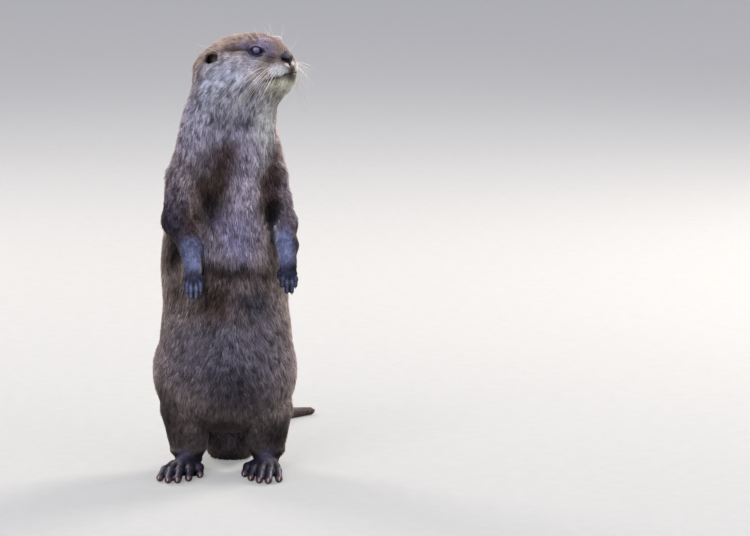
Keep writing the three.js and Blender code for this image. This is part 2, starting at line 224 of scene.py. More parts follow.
@dataclass(frozen=True)
class Axes:
    """A frame of its own within the otter's, by its origin and its x, y and z directions."""

    origin: np.ndarray
    turn: np.ndarray

    @classmethod
    def towards(cls, origin: Sequence[float], ahead: Sequence[float], up: Sequence[float]) -> Axes:
        """A frame whose x points ahead, with z as near as may be to up."""
        x = unit(np.array(ahead, float))
        y = unit(np.cross(np.array(up, float), x))
        return cls(np.array(origin, float), np.stack([x, y, np.cross(x, y)]))

    @classmethod
    def turned(cls, origin: Sequence[float], about_z: float, raised: float = 0.0) -> Axes:
        """A frame turned about z and then raised at its front, both in degrees."""
        a, r = math.radians(about_z), math.radians(raised)
        x = np.array([math.cos(a) * math.cos(r), math.sin(a) * math.cos(r), math.sin(r)])
        y = np.array([-math.sin(a), math.cos(a), 0.0])
        return cls(np.array(origin, float), np.stack([x, y, np.cross(x, y)]))

    def inside(self, points: np.ndarray) -> np.ndarray:
        """Points of the otter's frame, as this frame has them."""
        return (points - self.origin) @ self.turn.T

    def outside(self, points: np.ndarray) -> np.ndarray:
        """Points of this frame, as the otter's frame has them."""
        return np.asarray(points, float) @ self.turn + self.origin

    def outward(self, vectors: np.ndarray) -> np.ndarray:
        """Directions of this frame, as the otter's frame has them."""
        return np.asarray(vectors, float) @ self.turn


HEAD_AXES = Axes.turned((27.5, -10, 470), 60 - 90, 6)


def mirrored(point: Sequence[float], side: float) -> np.ndarray:
    """A point of a two-sided frame, on one side of it."""
    return np.array([point[0], point[1] * side, point[2]])


# ---------------------------------------------------------------- fields: the distance to a shape, negative inside


def join(a: np.ndarray, b: np.ndarray, blend: float) -> np.ndarray:
    """Two shapes as one, with a fillet about as wide as blend between them."""
    h = np.clip(0.5 + 0.5 * (b - a) / blend, 0, 1)
    return b + (a - b) * h - blend * h * (1 - h)


def cut(a: np.ndarray, b: np.ndarray, blend: float) -> np.ndarray:
    """The first shape without the second."""
    return -join(-a, b, blend)


def ellipsoid(p: np.ndarray, centre: Row, size: Row) -> np.ndarray:
    """An ellipsoid of these half sizes."""
    q = (p - centre) / size
    k0, k1 = lengths(q), lengths(q / size)
    return k0 * (k0 - 1) / np.maximum(k1, TINY)


def stacked(across: Pair, size: Pair, spread: np.ndarray, along: np.ndarray, ends: Row) -> np.ndarray:
    """Ellipses, one above the other.

    Args:
        across: Where the points lie across the stack, in two directions.
        size: The ellipse's half sizes there.
        spread: How fast the ellipses widen along the stack.
        along: Where the points lie along the stack.
        ends: Where the stack starts and ends.

    Returns:
        The distance to the shape.
    """
    k0 = np.hypot(across[0] / size[0], across[1] / size[1])
    k1 = np.hypot(across[0] / size[0] ** 2, across[1] / size[1] ** 2)
    flat = k0 * (k0 - 1) / np.maximum(k1, TINY) / np.sqrt(1 + spread**2)
    past = np.maximum(ends[0] - along, along - ends[1])
    return np.hypot(np.maximum(flat, 0), np.maximum(past, 0)) + np.minimum(np.maximum(flat, past), 0)


def bar_gap(p: np.ndarray, start: Sequence[float], end: Sequence[float]) -> Pair:
    """How far points lie from the line between two places, and how far along it the nearest is, from 0 to 1."""
    a, b = np.array(start[:3], float), np.array(end[:3], float)
    along = b - a
    t = np.clip((p - a) @ along / (along @ along), 0, 1)
    return lengths(p - a - t[:, None] * along), t


def bone(p: np.ndarray, start: Row, end: Row) -> np.ndarray:
    """A round bar between two joints, each x, y, z and radius."""
    gap, t = bar_gap(p, start, end)
    return gap - (start[3] + t * (end[3] - start[3]))


def chain(p: np.ndarray, joints: Sequence[Row], blend: float) -> np.ndarray:
    """Round bars from joint to joint, joined."""
    total = bone(p, joints[0], joints[1])
    for start, end in zip(joints[1:], joints[2:]):
        total = join(total, bone(p, start, end), blend)
    return total


def line_gap(p: np.ndarray, places: Sequence[Sequence[float]]) -> Pair:
    """How far points lie from a bent line, and how far along it the nearest place is, from 0 to 1."""
    best = np.full(len(p), FAR)
    share = np.zeros(len(p))
    spans = len(places) - 1
    for i in range(spans):
        gap, t = bar_gap(p, places[i], places[i + 1])
        nearer = gap < best
        best = np.where(nearer, gap, best)
        share = np.where(nearer, (i + t) / spans, share)
    return best, share


def within(
    p: np.ndarray, low: Sequence[float], high: Sequence[float], shape: Shape, outside: float = FAR
) -> np.ndarray:
    """A shape worked out only inside a box, with one number everywhere else."""
    near = ((p > low) & (p < high)).all(1)
    out = np.full(len(p), outside)
    if near.any():
        out[near] = shape(p[near])
    return out


HEAD_REACH = 82.0
HEAD_BOX = (HEAD_AXES.origin - HEAD_REACH, HEAD_AXES.origin + HEAD_REACH)
TAIL_BOX = ((-45, 0, -10), (110, 320, 120))


@dataclass
class Digits:
    """The toes or fingers of one foot, in that foot's own frame."""

    joints: tuple[tuple[Row, ...], ...]
    radii: Row
    blend: float

    def chains(self, side: float) -> list[list[Row]]:
        """Each digit's joints with their radii, outwards turned to the otter's own side."""
        return [[(x, y * side, z, r) for (x, y, z), r in zip(digit, self.radii)] for digit in self.joints]

    def field(self, p: np.ndarray, side: float) -> np.ndarray:
        """The distance to the digits."""
        total = np.full(len(p), FAR)
        for digit in self.chains(side):
            total = join(total, chain(p, digit, 2.5), self.blend)
        return total


TOES = Digits(
    (
        ((27, -12.5, 11), (34, -18.5, 10.5), (43, -20.5, 4.6)),
        ((35, -7, 12), (49, -10.5, 11.5), (62, -11.5, 4.6)),
        ((38, 0, 12.5), (58, -1, 12), (73, -1.2, 4.6)),
        ((37, 7, 12), (59, 8.8, 11.5), (75, 9.2, 4.6)),
        ((33, 12.5, 11), (53, 17.5, 10.5), (67, 20.3, 4.6)),
    ),
    (6.0, 5.0, 4.7),
    1.8,
)
FINGERS = Digits(
    (
        ((6, -6, -2), (10.5, -8.8, -3.6), (15.5, -9.8, -5)),
        ((12, -6, 0.2), (18.5, -7.9, 1.2), (25, -8, -0.4)),
        ((14, -2.6, 0.8), (23.5, -3, 2), (32, -2.8, 0)),
        ((14, 2.6, 0.8), (23.5, 3, 2), (32, 2.9, 0)),
        ((12, 5.8, 0.2), (18.5, 7.5, 1.2), (25.5, 7.4, -0.4)),
    ),
    (3.6, 3.15, 2.85),
    0.7,
)


@dataclass
class Foreleg:
    """A foreleg with its hand, hanging over the belly."""

    side: float
    arm: tuple[Row, ...]
    towards: Row
    back: Row
    hand_middle: Row = (14, 0, 0)
    reach: float = 34
    hold_reach: float = 40
    hold_below: float = 12
    hand_axes: Axes = field(init=False)

    def __post_init__(self) -> None:
        """Places the hand's frame at the wrist."""
        self.hand_axes = Axes.towards(self.arm[-1][:3], self.towards, self.back)

    def box(self, margin: float) -> Pair:
        """The corners of a box round the arm."""
        joints = np.array(self.arm)[:, :3]
        return joints.min(0) - margin, joints.max(0) + margin

    def arm_field(self, p: np.ndarray) -> np.ndarray:
        """The distance to the upper arm and forearm."""
        return within(p, *self.box(self.reach), lambda q: chain(q, self.arm, 7.0))

    def hand_field(self, p: np.ndarray) -> np.ndarray:
        """The distance to the palm and fingers."""
        middle, reach = self.hand_axes.outside(self.hand_middle), self.reach
        return within(p, middle - reach, middle + reach, lambda q: self._hand(self.hand_axes.inside(q)))

    def field(self, p: np.ndarray) -> np.ndarray:
        """The distance to the foreleg and its hand."""
        return join(self.arm_field(p), self.hand_field(p), 3.0)

    def _hand(self, h: np.ndarray) -> np.ndarray:
        """The hand in its own frame."""
        flat = h * (1, 1, 1 / 0.66)
        palm = bone(flat, (-2, 0, 0, 9.0), (11, 0, 0.6, 9.0))
        for s in (LEFT, RIGHT):
            palm = join(palm, bone(h, (3, 3 * s, 0, 5.2), (11, 5 * s, 0, 4.8)), 2.0)
        palm = join(palm, ellipsoid(h, (4, 0, -3.4), (5, 5.5, 3.0)), 2.0)
        return join(palm, FINGERS.field(h, self.side), 1.6)

    def hold(self, p: np.ndarray) -> np.ndarray:
        """How far points belong to the foreleg rather than the trunk, from 0 to 1."""
        low, high = self.box(self.hold_reach)
        low[2] -= self.hold_below
        return within(p, low, high, self._hold, 0.0)

    def _hold(self, q: np.ndarray) -> np.ndarray:
        """The hold near the limb, fading out at the shoulder."""
        return ramp(-3, 3, OUTLINE.trunk(q) - self.field(q)) * ramp(368, 338, q[:, 2])

    def lie(self, p: np.ndarray) -> Pair:
        """The flow down the limb, and the coat's depth, length, width, spacing and ridge in columns."""
        joints = np.array([row[:3] for row in self.arm] + [tuple(self.hand_axes.outside((32, 0, 0)))])
        ways = unit(np.diff(joints, axis=0))
        middles = (joints[1:, 2] + joints[:-1, 2]) / 2
        flow = np.stack([np.interp(-p[:, 2], -middles, ways[:, axis]) for axis in range(3)], 1)
        table = np.array(SLEEVE)
        return flow, np.stack([np.interp(p[:, 2], table[:, 0], table[:, c]) for c in range(1, 6)], 1)


SLEEVE: tuple[Row, ...] = (
    # height above the floor, then the coat's depth, length, width, spacing and ridge there
    (205, 0.25, 1.5, 0.45, 0.9, 0.0),
    (226, 0.35, 2.0, 0.5, 0.85, 0.0),
    (238, 0.6, 2.9, 0.55, 0.85, 0.0),
    (248, 0.9, 3.9, 0.6, 0.85, 0.0),
    (262, 1.3, 4.6, 0.66, 0.9, 0.05),
    (276, 1.9, 5.6, 0.76, 1.0, 0.15),
    (292, 2.8, 7.0, 0.9, 1.15, 0.5),
    (312, 3.8, 9.0, 1.1, 1.4, 1.0),
    (340, 4.8, 10.5, 1.2, 1.5, 1.0),
)


@dataclass
class HindLeg:
    """A hind leg standing on its flat foot."""

    side: float
    hip: Row
    shank: tuple[Row, ...]
    ankle: Row
    turn: float
    inner: float = 10.0
    middle: float = 50
    reach: float = 60
    foot_middle: Row = (32, 0, 15)
    foot_reach: float = 62
    foot_axes: Axes = field(init=False)

    def __post_init__(self) -> None:
        """Places the foot's frame on the floor."""
        self.foot_axes = Axes.turned(self.ankle, self.turn - 90)

    def leg_field(self, p: np.ndarray) -> np.ndarray:
        """The distance to the thigh and shank."""
        middle = self.middle * self.side
        return within(p, (middle - self.reach, -75, -5), (middle + self.reach, 80, 200), self._leg)

    def _leg(self, q: np.ndarray) -> np.ndarray:
        """The leg, kept off the midline."""
        leg = join(ellipsoid(q, self.hip, (45, 54, 61)), chain(q, self.shank, 8.0), 8.0)
        return np.maximum(leg, self.inner - q[:, 0] * self.side)

    def foot_field(self, p: np.ndarray) -> np.ndarray:
        """The distance to the foot."""
        middle, reach = self.foot_axes.outside(self.foot_middle), self.foot_reach
        return within(p, middle - reach, middle + reach, lambda q: self._foot(self.foot_axes.inside(q)))

    def _foot(self, h: np.ndarray) -> np.ndarray:
        """The foot in its own frame."""
        flat = (h - (0, 0, 11.3)) * (1, 1, 1 / 0.92)
        instep = chain(flat, ((-9, 0, 0, 13.2), (8, 0, 0, 13.6), (34, 0, -0.3, 12.0)), 3.0)
        for side in (LEFT, RIGHT):
            instep = join(instep, bone(h, (8, 3 * side, 9.2, 10), (34, 10 * side, 8.4, 9.2)), 2.5)
        instep = join(instep, bone(h, (0, 0, 32, 18), (9, 0, 15, 13)), 5.0)
        return join(instep, TOES.field(h, self.side), 3.0)


FORELEGS = (
    Foreleg(
        RIGHT,
        ((-44.5, -17, 340, 23.5), (-51.5, -26, 294, 19.5), (-38.5, -49, 266, 12.4), (-35.5, -62.5, 244, 9.4)),
        (0.01, -0.17, -1),
        (0.12, -1, 0.17),
    ),
    Foreleg(
        LEFT,
        ((46, -6, 340, 24), (52, -9, 314, 21), (60.5, -12, 288, 19), (69, -34, 267, 11.8), (70.5, -50, 248.5, 9.6)),
        (0.04, -0.17, -1),
        (0.3, -1, 0.17),
    ),
)
HIND_LEGS = (
    HindLeg(RIGHT, (-40.5, 4, 116), ((-45.5, -3, 72, 32), (-45.5, 0, 30, 21.5)), (-44, 1, 0), -9),
    HindLeg(LEFT, (34.5, 4, 116), ((42.5, -3, 72, 33), (44.5, 0, 30, 21.5)), (44, 1, 0), -4),
)


@dataclass(frozen=True)
class EyeSetting:
    """Where an eyeball sits in the head's frame, which way it looks, and how far its lids part."""

    at: Row = (22.5, 20.5, 13.0)
    radius: float = 7.0
    look: Row = (0.53, 0.82, 0.2)
    slit: Row = (1.0, 0.0, -0.1)
    half_width: float = 6.1
    half_height: float = 4.6
    lid: float = 0.9

    def axes(self, side: float) -> Axes:
        """The eye's frame: x out along its gaze, y along the slit and z across it."""
        look = unit(mirrored(self.look, side))
        slit = mirrored(self.slit, side)
        slit = unit(slit - (slit @ look) * look)
        up = np.cross(look, slit)
        return Axes(mirrored(self.at, side), np.stack([look, slit, up if up[2] > 0 else -up]))

    def ring(self, e: np.ndarray, wider: float = 1.0) -> np.ndarray:
        """How far out points of the eye's frame lie: 0 at the middle of the slit and 1 at its edge."""
        return np.hypot(e[:, 1] / (self.half_width * wider), e[:, 2] / self.half_height)


EYE = EyeSetting()
EAR_AT = (-26.5, 36.5, 7.0)
EAR_SIZE = (9.6, 5.2, 10.0)
EAR_TURN, EAR_TILT = 24.0, 20.0  # degrees
MOUTH = (
    (53.8, 0, -15.8),
    (52.9, 6.5, -15.4),
    (51.0, 12.0, -14.6),
    (48.6, 16.0, -15.8),
    (45.4, 19.6, -17.0),
    (41.2, 22.0, -18.6),
    (36.6, 24.2, -19.5),
    (31.6, 26.4, -20.0),
)
BROW_HAIR = ((38, 11, 23), (31, 14, 27))
NOSTRIL = ((53.8, 5.0, -0.6), (52.0, 8.0, 0.2), (49.4, 10.8, 2.2), (46.5, 13.0, 4.8))


def nose_shape(p: np.ndarray) -> np.ndarray:
    """The distance to the nose leather without its nostrils, in the head's frame."""
    pad = ellipsoid(p, (47.6, 0, 2.6), (6.9, 8.6, 8.0))
    pad = join(pad, ellipsoid(folded(p), (48.2, 5.6, 1.8), (5.4, 4.5, 5.6)), 2.5)
    return join(pad, ellipsoid(p, (51.2, 0, -3.6), (2.8, 2.4, 2.8)), 2.0)


def ear_axes() -> Axes:
    """The left ear's frame, tilted out at its top and turned with its opening forwards."""
    turn, tilt = math.radians(-EAR_TURN), math.radians(-EAR_TILT)
    about_z = np.array([[math.cos(turn), -math.sin(turn), 0], [math.sin(turn), math.cos(turn), 0], [0, 0, 1]])
    about_x = np.array([[1, 0, 0], [0, math.cos(tilt), -math.sin(tilt)], [0, math.sin(tilt), math.cos(tilt)]])
    return Axes(np.array(EAR_AT), (about_z @ about_x).T)


EAR_AXES = ear_axes()
EYE_AXES = EYE.axes(LEFT)


class Outline:
    """The outline of the whole coat, as the solids have it."""

    HEAD_BLEND, FOOT_BLEND, LEG_BLEND, TAIL_BLEND = 14.0, 4.0, 6.0, 8.0
    ELBOW_BLEND, SHOULDER_RISE, SHOULDER_HEIGHTS = 0.8, 5.2, (262, 290)
    TAIL_SPREAD = (4.5, 6.5, 6.5, 2.5)

    def trunk(self, p: np.ndarray) -> np.ndarray:
        """The trunk and neck: turned ellipses, one above the other."""
        ends = TRUNK[0][0], TRUNK[-1][0]
        z = np.clip(p[:, 2], *ends)
        x0, y0, wide, deep, turn = through(TRUNK, z)
        above, below = (through(TRUNK, np.clip(z + step, *ends)) for step in (1, -1))
        spread = (np.add(*above[2:4]) - np.add(*below[2:4])) / 4
        c, s = np.cos(np.radians(turn)), np.sin(np.radians(turn))
        u = (p[:, 0] - x0) * c + (p[:, 1] - y0) * s
        v = -(p[:, 0] - x0) * s + (p[:, 1] - y0) * c
        return stacked((u, v), (wide, deep), spread, p[:, 2], ends)

    def head(self, h: np.ndarray) -> np.ndarray:
        """The head in its own frame: ellipses whose top and bottom halves differ in height."""
        ends = HEAD[0][0], HEAD[-1][0]
        x = np.clip(h[:, 0], *ends)
        wide, middle, top, bottom = through(HEAD, x)
        spread = (through(HEAD, np.clip(x + 1, *ends))[0] - through(HEAD, np.clip(x - 1, *ends))[0]) / 2
        v = h[:, 2] - middle
        tall = np.where(v > 0, top - middle, middle - bottom)
        return stacked((h[:, 1], v), (wide, tall), spread, h[:, 0], ends)

    def head_field(self, p: np.ndarray) -> np.ndarray:
        """The distance to the head, given points of the otter's frame."""
        return within(p, *HEAD_BOX, lambda q: self.head(HEAD_AXES.inside(q)))

    def tail(self, p: np.ndarray) -> np.ndarray:
        """The tail, laid on the floor."""
        total = chain(p, TAIL, 1.0)
        for side in (LEFT, RIGHT):
            root = [(x + side * s, y, z, r) for (x, y, z, r), s in zip(TAIL, self.TAIL_SPREAD)]
            total = join(total, chain(p, root, 2.0), 6.0)
        return total

    def field(self, p: np.ndarray) -> np.ndarray:
        """The distance to the whole outline, without the ears."""
        total = join(self.trunk(p), self.head_field(p), self.HEAD_BLEND)
        for leg in HIND_LEGS:
            total = join(total, join(leg.leg_field(p), leg.foot_field(p), self.FOOT_BLEND), self.LEG_BLEND)
        total = join(total, within(p, *TAIL_BOX, self.tail), self.TAIL_BLEND)
        fillet = self.ELBOW_BLEND + self.SHOULDER_RISE * ramp(*self.SHOULDER_HEIGHTS, p[:, 2])
        for leg in FORELEGS:
            total = join(total, leg.field(p), fillet)
        return np.maximum(total, -p[:, 2])


OUTLINE = Outline()


# ---------------------------------------------------------------- the lie of the coat

# Each tract of the coat is a row: its middle in x, y and z; how far it holds before its neighbours take over; the way
# its hair points in x, y and z; how deep the skin lies under the outline; a lock's length and its width at its middle;
# how far apart the roots are; how far the locks gather in rows across the flow, from 0 to 1; and how many sides of the
# otter have it. Those of the head are in the head's frame.

HEAD_TRACTS: tuple[Row, ...] = (
    # the head: bridge of the nose, beside the nose, whisker pad, lip, chin
    (45, 0, 15, 8, -1, 0, 0.4, 0.7, 1.9, 0.42, 0.72, 0, 1),
    (44, 13, 10, 6, -0.9, 0.3, 0.2, 0.7, 1.9, 0.42, 0.72, 0, 2),
    (45, 19, -8, 8, -0.85, 0.1, -0.5, 0.9, 2.9, 0.45, 0.74, 0, 2),
    (53, 7, -11, 5, -0.2, 0.6, -0.8, 0.7, 2.2, 0.42, 0.72, 0, 2),
    (48, 6, -25, 9, -0.7, 0.1, -0.72, 2.2, 6.5, 0.62, 0.95, 0, 2),
    (38, 18, -30, 10, -0.8, 0.1, -0.6, 3.0, 8.0, 0.68, 1.0, 0, 2),
    # brow, crown, round the eye, temple
    (33, 0, 26, 9, -1, 0, 0.15, 1.6, 3.4, 0.5, 0.78, 0, 1),
    (16, 0, 31, 12, -1, 0, 0, 2.6, 5.0, 0.58, 0.88, 0, 1),
    (-12, 8, 31, 16, -1, 0.05, -0.1, 3.2, 7.0, 0.72, 1.05, 0, 2),
    (33, 19, 13, 6, -0.85, 0.3, 0.35, 0.7, 1.9, 0.42, 0.7, 0, 2),
    (26, 18, 23, 6, -1, 0.1, 0.1, 1.3, 3.0, 0.48, 0.76, 0, 2),
    (26, 27, 3, 7, -0.9, 0.1, -0.3, 1.1, 3.2, 0.48, 0.76, 0, 2),
    (10, 26, 20, 7, -1, 0, 0, 1.5, 3.6, 0.5, 0.8, 0, 2),
    (-8, 30, 18, 9, -1, 0.1, -0.1, 2.2, 5.0, 0.6, 0.9, 0, 2),
    # cheek, jaw, throat
    (10, 35, 1, 9, -0.9, 0.1, -0.4, 2.0, 5.4, 0.6, 0.88, 0, 2),
    (22, 32, -13, 10, -0.85, 0.1, -0.5, 2.4, 7.0, 0.65, 0.94, 0, 2),
    (0, 41, -14, 13, -0.75, 0.1, -0.66, 3.6, 10.0, 0.8, 1.12, 0, 2),
    (-16, 48, -22, 14, -0.65, 0.0, -0.76, 4.6, 12.0, 0.92, 1.28, 0, 2),
    (18, 32, -34, 13, -0.55, 0, -0.83, 3.8, 10.5, 0.82, 1.18, 0, 2),
    (24, 8, -47, 13, -0.55, 0, -0.83, 3.8, 10.0, 0.82, 1.18, 0, 2),
    # round the ear, nape
    (-20, 36, 16, 7, -0.9, 0.3, -0.2, 1.6, 4.2, 0.58, 0.86, 0, 2),
    (-30, 41, 8, 7, -0.8, 0.3, -0.4, 1.2, 3.4, 0.55, 0.82, 0, 2),
    (-22, 42, -4, 8, -0.7, 0.1, -0.7, 2.2, 6.0, 0.66, 0.96, 0, 2),
    (-42, 34, 6, 11, -0.6, 0, -0.8, 3.6, 9.0, 0.8, 1.15, 0, 2),
    (-50, 0, 10, 15, -0.6, 0, -0.8, 4.2, 10.0, 0.9, 1.28, 0, 1),
)
BODY_TRACTS: tuple[Row, ...] = (
    # neck: front, sides, nape
    (20, -52, 415, 24, 0, 0.05, -1, 4.8, 12, 0.95, 1.38, 0.3, 2),
    (-48, -30, 410, 24, 0, 0.05, -1, 5.0, 11, 0.98, 1.38, 1.0, 1),
    (62, -20, 405, 24, 0, 0.05, -1, 4.6, 11, 0.98, 1.38, 0.7, 1),
    (-30, 35, 410, 28, 0, 0, -1, 5.2, 12, 1.1, 1.55, 0.8, 2),
    # shoulders, chest, back
    (66, -8, 345, 24, 0, 0, -1, 5.2, 11, 1.05, 1.42, 1.0, 2),
    (14, -50, 350, 24, 0, 0, -1, 5.2, 13, 1.0, 1.42, 0.4, 1),
    (14, -52, 300, 24, 0, 0, -1, 5.6, 14, 1.02, 1.46, 0.25, 1),
    (-24, -46, 335, 18, -0.1, 0, -1, 5.2, 13, 1.05, 1.46, 0.6, 1),
    (0, 56, 340, 40, 0, 0, -1, 5.6, 14, 1.25, 1.75, 0.6, 1),
    (40, 50, 260, 45, 0, 0, -1, 6.0, 16, 1.3, 1.85, 0.4, 2),
    # flanks and belly
    (72, 0, 270, 28, 0, 0, -1, 5.0, 13, 1.1, 1.5, 0.5, 2),
    (74, -5, 210, 30, 0, 0, -1, 5.4, 14, 1.15, 1.58, 0.35, 2),
    (12, -57, 250, 22, 0, 0, -1, 5.4, 13, 1.02, 1.46, 0.35, 1),
    (-14, -58, 205, 22, -0.3, 0, -1, 5.6, 15, 1.08, 1.52, 0.2, 1),
    (36, -54, 205, 22, 0.3, 0, -1, 5.6, 15, 1.08, 1.52, 0.2, 1),
    (-16, -60, 165, 24, -0.42, 0, -1, 5.6, 15, 1.08, 1.52, 0.15, 1),
    (38, -58, 165, 24, 0.42, 0, -1, 5.6, 15, 1.08, 1.52, 0.15, 1),
    (58, -38, 165, 26, 0.4, 0.1, -1, 5.6, 15, 1.1, 1.55, 0.2, 2),
    # loins, thighs, crotch
    (25, -60, 125, 24, 0.35, 0, -1, 5.6, 13, 1.08, 1.52, 0.2, 2),
    (72, -10, 120, 32, 0.1, 0.15, -1, 5.4, 13, 1.1, 1.58, 0.2, 2),
    (8, -52, 80, 20, 0.2, 0.1, -1, 4.6, 10, 1.0, 1.42, 0, 2),
    (0, 62, 130, 45, 0, 0.25, -1, 6.0, 15, 1.3, 1.85, 0.2, 1),
    # shanks, ankles, feet
    (60, -22, 72, 20, 0.0, 0.1, -1, 4.2, 9.5, 0.95, 1.35, 0, 2),
    (55, 25, 62, 22, 0.0, 0.1, -1, 4.2, 9.5, 1.0, 1.4, 0, 2),
    (50, -20, 42, 14, 0, -0.1, -1, 2.1, 4.6, 0.7, 0.98, 0, 2),
    (46, 18, 36, 14, 0, 0.0, -1, 2.0, 4.6, 0.75, 1.02, 0, 2),
    (45, -14, 25, 11, 0, -0.6, -0.8, 0.8, 2.4, 0.5, 0.82, 0, 2),
    (46, -40, 12, 20, 0, -1, -0.1, 0.35, 1.8, 0.45, 0.95, 0, 2),
    (44, 10, 6, 14, 0, -0.5, -1, 0.5, 2.4, 0.5, 1.1, 0, 2),
    # tail: root, middle, end
    (0, 62, 60, 30, 0, 0.75, -0.66, 5.2, 12, 1.15, 1.6, 0, 1),
    (3, 110, 22, 28, 0.02, 0.95, -0.3, 4.2, 10.5, 1.1, 1.5, 0, 2),
    (10, 166, 12, 30, 0.22, 0.97, -0.06, 3.2, 8.5, 0.98, 1.35, 0, 2),
    (38, 243, 8, 26, 0.5, 0.85, -0.05, 2.1, 6.5, 0.8, 1.15, 0, 2),
    (84, 294, 5, 18, 0.78, 0.62, -0.03, 1.2, 5.0, 0.65, 0.95, 0, 2),
)


class Lie:
    """The lie of the coat all over the body, read from its tracts by how near each is."""

    FADE = 1.6
    CHUNK = 20000

    def __init__(self) -> None:
        """Sets each tract out on its sides."""
        tracts = []
        for rows, on_head in ((HEAD_TRACTS, True), (BODY_TRACTS, False)):
            for row, side in ((row, side) for row in rows for side in (LEFT, RIGHT)[: int(row[12])]):
                mirror = np.array([1, side, 1] if on_head else [side, 1, 1])
                at, flow = np.array(row[:3]) * mirror, np.array(row[4:7]) * mirror
                if on_head:
                    at, flow = HEAD_AXES.outside(at), HEAD_AXES.outward(flow)
                tracts.append((at, flow, row[7:12], row[3]))
        self.places, flows, self.values, self.reach = (np.array(column, float) for column in zip(*tracts))
        self.flows = unit(flows)

    def weights(self, p: np.ndarray) -> np.ndarray:
        """How far each tract holds at each point, adding up to 1."""
        square = ((p[:, None, :] - self.places[None]) ** 2).sum(2) / self.reach**2
        square -= square.min(1, keepdims=True)
        w = np.exp(-self.FADE * square)
        return w / w.sum(1, keepdims=True)

    def read(self, p: np.ndarray) -> Pair:
        """Reads the lie at points.

        Args:
            p: The points, in the otter's frame.

        Returns:
            The flow, one long, and the depth, length, width, spacing and ridge in columns.
        """
        weights = [self.weights(p[start : start + self.CHUNK]) for start in range(0, len(p), self.CHUNK)]
        flow, value = (np.vstack([w @ column for w in weights]) for column in (self.flows, self.values))
        for leg in FORELEGS:
            hold = leg.hold(p)[:, None]
            on = hold[:, 0] > 0
            if on.any():
                way, limb = leg.lie(p[on])
                flow[on] += hold[on] * (way - flow[on])
                value[on] += hold[on] * (limb - value[on])
        return unit(flow), value


LIE = Lie()


# ---------------------------------------------------------------- the skin's field


@dataclass(frozen=True)
class Fold:
    """A crease or a soft rise along a line of the head's frame, mirrored to both sides.

    Attributes:
        line: Its places.
        width: How wide it is.
        sink: How far it sinks in, or stands out where negative, at its start and its end.
    """

    line: tuple[Row, ...]
    width: float
    sink: tuple[float, float]


FOLDS = (
    Fold(MOUTH, 1.3, (2.6, 1.0)),
    Fold(((55, 0, -5), (54.6, 0, -13)), 1.5, (2.4, 2.2)),  # the groove under the nose
    Fold(((51, 9.5, 0.8), (48.5, 12, 3.2), (45.8, 14, 5.6)), 0.95, (1.3, 0.7)),  # the tail of the nostril
    Fold(((47, 12.5, 10), (41, 14.5, 13), (35, 17, 14)), 1.2, (0.8, 0.2)),  # behind the top of the nostril
    Fold(((45.5, 16.5, 3), (39.5, 20, 5.2), (34, 23, 7)), 1.2, (1.0, 0.4)),  # from the nostril towards the eye
    Fold(((43, 20, -1), (36, 23.5, 1), (30, 26, 2.5)), 1.1, (0.8, 0.4)),
    Fold(((30, 27, 5.5), (24, 29, 3.5), (17, 29.5, 5)), 1.1, (0.5, 0.5)),  # under the lower lid
    Fold(((12, 28, 14), (4, 30.5, 14.5), (-6, 32, 15)), 1.6, (1.2, 0.5)),  # from the eye back to the ear
    Fold(((16, 24, 20), (24, 21, 22), (31, 18, 19)), 1.3, (0.8, 0.4)),  # over the upper lid
    Fold(((47, 17.5, -8), (41, 20.5, -9), (35, 23.5, -9.5)), 4.5, (-1.1, -0.3)),  # the whisker pad's swell
    Fold(((49, 9, -21), (41, 14, -25), (33, 18, -28)), 4.0, (-0.8, -0.3)),  # the lower lip's swell
    Fold(((36, 13, 22.5), (30, 16, 25)), 4.5, (-1.6, -1.2)),  # the brow's swell over the inner end of the eye
)


